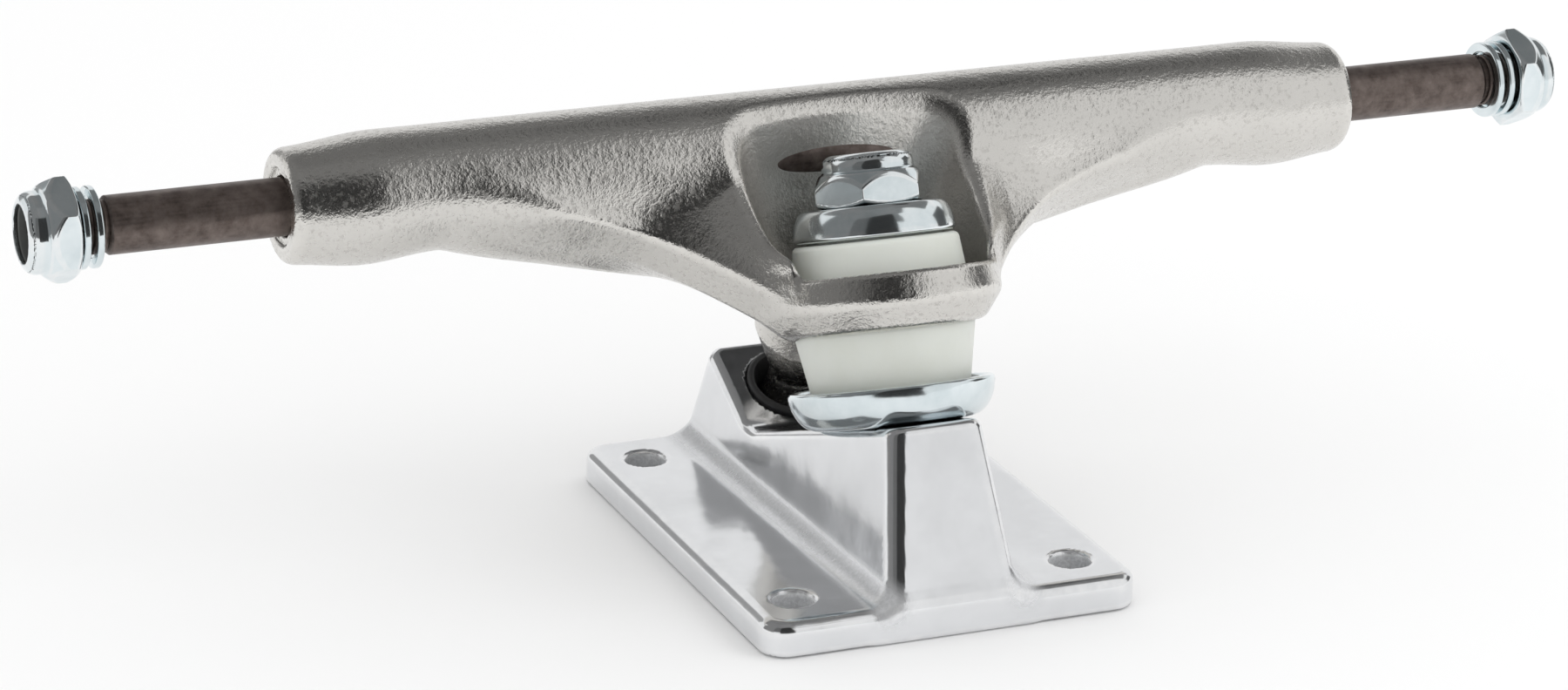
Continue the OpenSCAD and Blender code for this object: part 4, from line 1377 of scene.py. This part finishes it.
CAMERA_PLACE = (-0.27452, -0.60535, 0.27372)
CAMERA_RIGHT = (0.92063, -0.38951, 0.02702)
CAMERA_UP = (0.11138, 0.32831, 0.93798)
CAMERA_BACK = (-0.37422, -0.86052, 0.34564)
SENSOR_WIDTH = 36
NEAREST = 0.01
FLOOR_SIZE = 8.0
FLOOR_DROP = 0.05 * MM
FLOOR_ROUGHNESS = 0.9
FLOOR_GLOSS = 0.1
KEY_PLACE = (0.75, -0.55, 0.75)
KEY_TARGET = (0, 0, 0.04)
KEY_SIZE = 0.7

# Dark cards that only reflections see: name, one corner, the two sides from it, and brightness
CARDS = (
    ("flag_front", (-0.22, -0.28, 0.015), (0.285, 0, 0), (0, 0, 0.485), 0.04),
    ("flag_front_left", (-0.40, -0.21, 0.06), (0.18, -0.07, 0), (0, 0, 0.44), 0.14),
    ("flag_left", (-0.40, -0.21, 0.02), (0, 0.36, 0), (0, 0, 0.40), 0.22),
    ("flag_zenith", (-0.12, -0.28, 0.50), (0.24, 0, 0), (0, 0.28, 0), 0.24),
    ("flag_zenith_back", (-0.12, 0, 0.50), (0.24, 0, 0), (0, 0.55, 0), 0.20),
    ("flag_over_left", (-0.50, -0.28, 0.50), (0.38, 0, 0), (0, 0.83, 0), 0.22),
    ("flag_over_back", (0.12, -0.09, 0.50), (0.50, 0, 0), (0, 0.77, 0), 0.20),
    ("flag_housing", (0.15, 0.12, 0.49), (0.12, 0, 0), (0, 0.13, 0), 0.02),
    ("flag_over_right", (0.12, -0.28, 0.50), (0.08, 0, 0), (0, 0.19, 0), 0.22),
    ("flag_high", (0.065, -0.28, 0.27), (0.075, 0, 0), (0, 0, 0.23), 0.22),
    ("flag_right", (0.45, -0.08, 0.02), (0, 0.22, 0), (0, 0, 0.20), 0.10),
    ("flag_back_left", (-0.26, 0.35, 0.03), (0.16, 0.02, 0), (0, 0, 0.24), 0.34),
)


def added(scene, name, data):
    """An object of the scene that holds a mesh, a light or a camera."""
    made = bpy.data.objects.new(name, data)
    scene.collection.objects.link(made)
    return made


def card(scene, name, corner, along, up):
    """A flat stage card from one corner and its two sides, and the nodes of its own material."""
    corner, along, up = Vector(corner), Vector(along), Vector(up)
    mesh = bpy.data.meshes.new(name)
    mesh.from_pydata([corner, corner + along, corner + along + up, corner + up], [], [(0, 1, 2, 3)])
    paint = bpy.data.materials.new(name + "_paint")
    paint.use_nodes = True
    mesh.materials.append(paint)
    made = added(scene, name, mesh)
    return made, paint.node_tree


class TRUCK_OT_stage(bpy.types.Operator):
    """Sets up the floor, the lights and the camera"""

    bl_idname = "truck.stage"
    bl_label = "Stage"

    def execute(self, context):
        scene, s = context.scene, context.scene.truck_stage
        scene.view_settings.view_transform = "Standard"
        self.floor(scene, s)
        self.surround(scene, s)
        self.cards(scene)
        self.key_light(scene, s)
        self.camera(scene, s)
        return {"FINISHED"}

    def floor(self, scene, s):
        """A pale matt floor just under the deck face."""
        half = FLOOR_SIZE / 2
        _, tree = card(scene, "floor", (-half, -half, -FLOOR_DROP), (FLOOR_SIZE, 0, 0), (0, FLOOR_SIZE, 0))
        sockets = tree.nodes["Principled BSDF"].inputs
        sockets["Base Color"].default_value = (*s.floor, 1)
        sockets["Roughness"].default_value = FLOOR_ROUGHNESS
        sockets["Specular IOR Level"].default_value = FLOOR_GLOSS

    def surround(self, scene, s):
        """A white world, a little dimmer to the camera and in reflections than on matt surfaces."""
        scene.world = bpy.data.worlds.new("surround")
        scene.world.use_nodes = True
        tree = scene.world.node_tree
        path = add_node(tree, "ShaderNodeLightPath").outputs
        seen = math_node(tree, "MAXIMUM", path["Is Camera Ray"], path["Is Glossy Ray"])
        seen = math_node(tree, "MAXIMUM", seen, path["Is Transmission Ray"])
        level = result(tree, "ShaderNodeMapRange",
                       {"Value": seen, "To Min": s.surround, "To Max": s.reflected})
        back = tree.nodes["Background"].inputs
        back["Color"].default_value = (1, 1, 1, 1)
        put(tree, back["Strength"], level)

    def cards(self, scene):
        """Dark flags that show only in reflections."""
        for name, corner, along, up, brightness in CARDS:
            made, tree = card(scene, name, corner, along, up)
            tree.nodes.remove(tree.nodes["Principled BSDF"])
            glow = result(tree, "ShaderNodeEmission", {"Strength": brightness})
            put(tree, tree.nodes["Material Output"].inputs["Surface"], glow)
            made.visible_camera = False
            made.visible_diffuse = False
            made.visible_shadow = False
            made.visible_transmission = False

    def key_light(self, scene, s):
        """A soft box that reflections don't show."""
        lamp = bpy.data.lights.new("key_light", "AREA")
        lamp.shape, lamp.size, lamp.size_y, lamp.energy = "RECTANGLE", KEY_SIZE, KEY_SIZE, s.key_power
        holder = added(scene, "key_light", lamp)
        holder.location = KEY_PLACE
        holder.rotation_mode = "QUATERNION"
        holder.rotation_quaternion = (Vector(KEY_PLACE) - Vector(KEY_TARGET)).to_track_quat("Z", "Y")
        holder.visible_glossy = False

    def camera(self, scene, s):
        """A camera at the photograph's angle."""
        lens = bpy.data.cameras.new("camera")
        lens.lens, lens.sensor_width, lens.clip_start = s.lens, SENSOR_WIDTH, NEAREST
        holder = added(scene, "camera", lens)
        holder.rotation_mode = "QUATERNION"
        turn = Matrix((CAMERA_RIGHT, CAMERA_UP, CAMERA_BACK)).transposed()
        holder.rotation_quaternion = turn.to_quaternion()
        holder.location = CAMERA_PLACE
        scene.camera = holder


OPERATORS = (TRUCK_OT_baseplate, TRUCK_OT_pivot_cup, TRUCK_OT_kingpin, TRUCK_OT_cup_washers,
             TRUCK_OT_bushings, TRUCK_OT_hanger, TRUCK_OT_axle, TRUCK_OT_nuts, TRUCK_OT_speed_washers,
             TRUCK_OT_stage)


class TRUCK_PT_build(bpy.types.Panel):
    """Lists the steps that build the truck"""

    bl_idname = "TRUCK_PT_build"
    bl_label = "Skateboard Truck"
    bl_space_type = "VIEW_3D"
    bl_region_type = "UI"
    bl_category = "Truck"

    def draw(self, context):
        for operator in OPERATORS:
            self.layout.operator(operator.bl_idname)


SETTINGS = {"truck_baseplate": BaseplateSizes, "truck_hanger": HangerSizes, "truck_hardware": HardwareSizes,
            "truck_colours": FinishColours, "truck_stage": StageSettings}


def register():
    for group in SETTINGS.values():
        bpy.utils.register_class(group)
    for name, group in SETTINGS.items():
        setattr(bpy.types.Scene, name, bpy.props.PointerProperty(type=group))
    for operator in OPERATORS:
        bpy.utils.register_class(operator)
    bpy.utils.register_class(TRUCK_PT_build)


def unregister():
    bpy.utils.unregister_class(TRUCK_PT_build)
    for operator in reversed(OPERATORS):
        bpy.utils.unregister_class(operator)
    for name in SETTINGS:
        delattr(bpy.types.Scene, name)
    for group in SETTINGS.values():
        bpy.utils.unregister_class(group)


def main():
    register()
    bpy.ops.truck.baseplate()
    bpy.ops.truck.pivot_cup()
    bpy.ops.truck.kingpin()
    bpy.ops.truck.cup_washers()
    bpy.ops.truck.bushings()
    bpy.ops.truck.hanger()
    bpy.ops.truck.axle()
    bpy.ops.truck.nuts()
    bpy.ops.truck.speed_washers()
    bpy.ops.truck.stage()


if __name__ == "__main__":
    main()
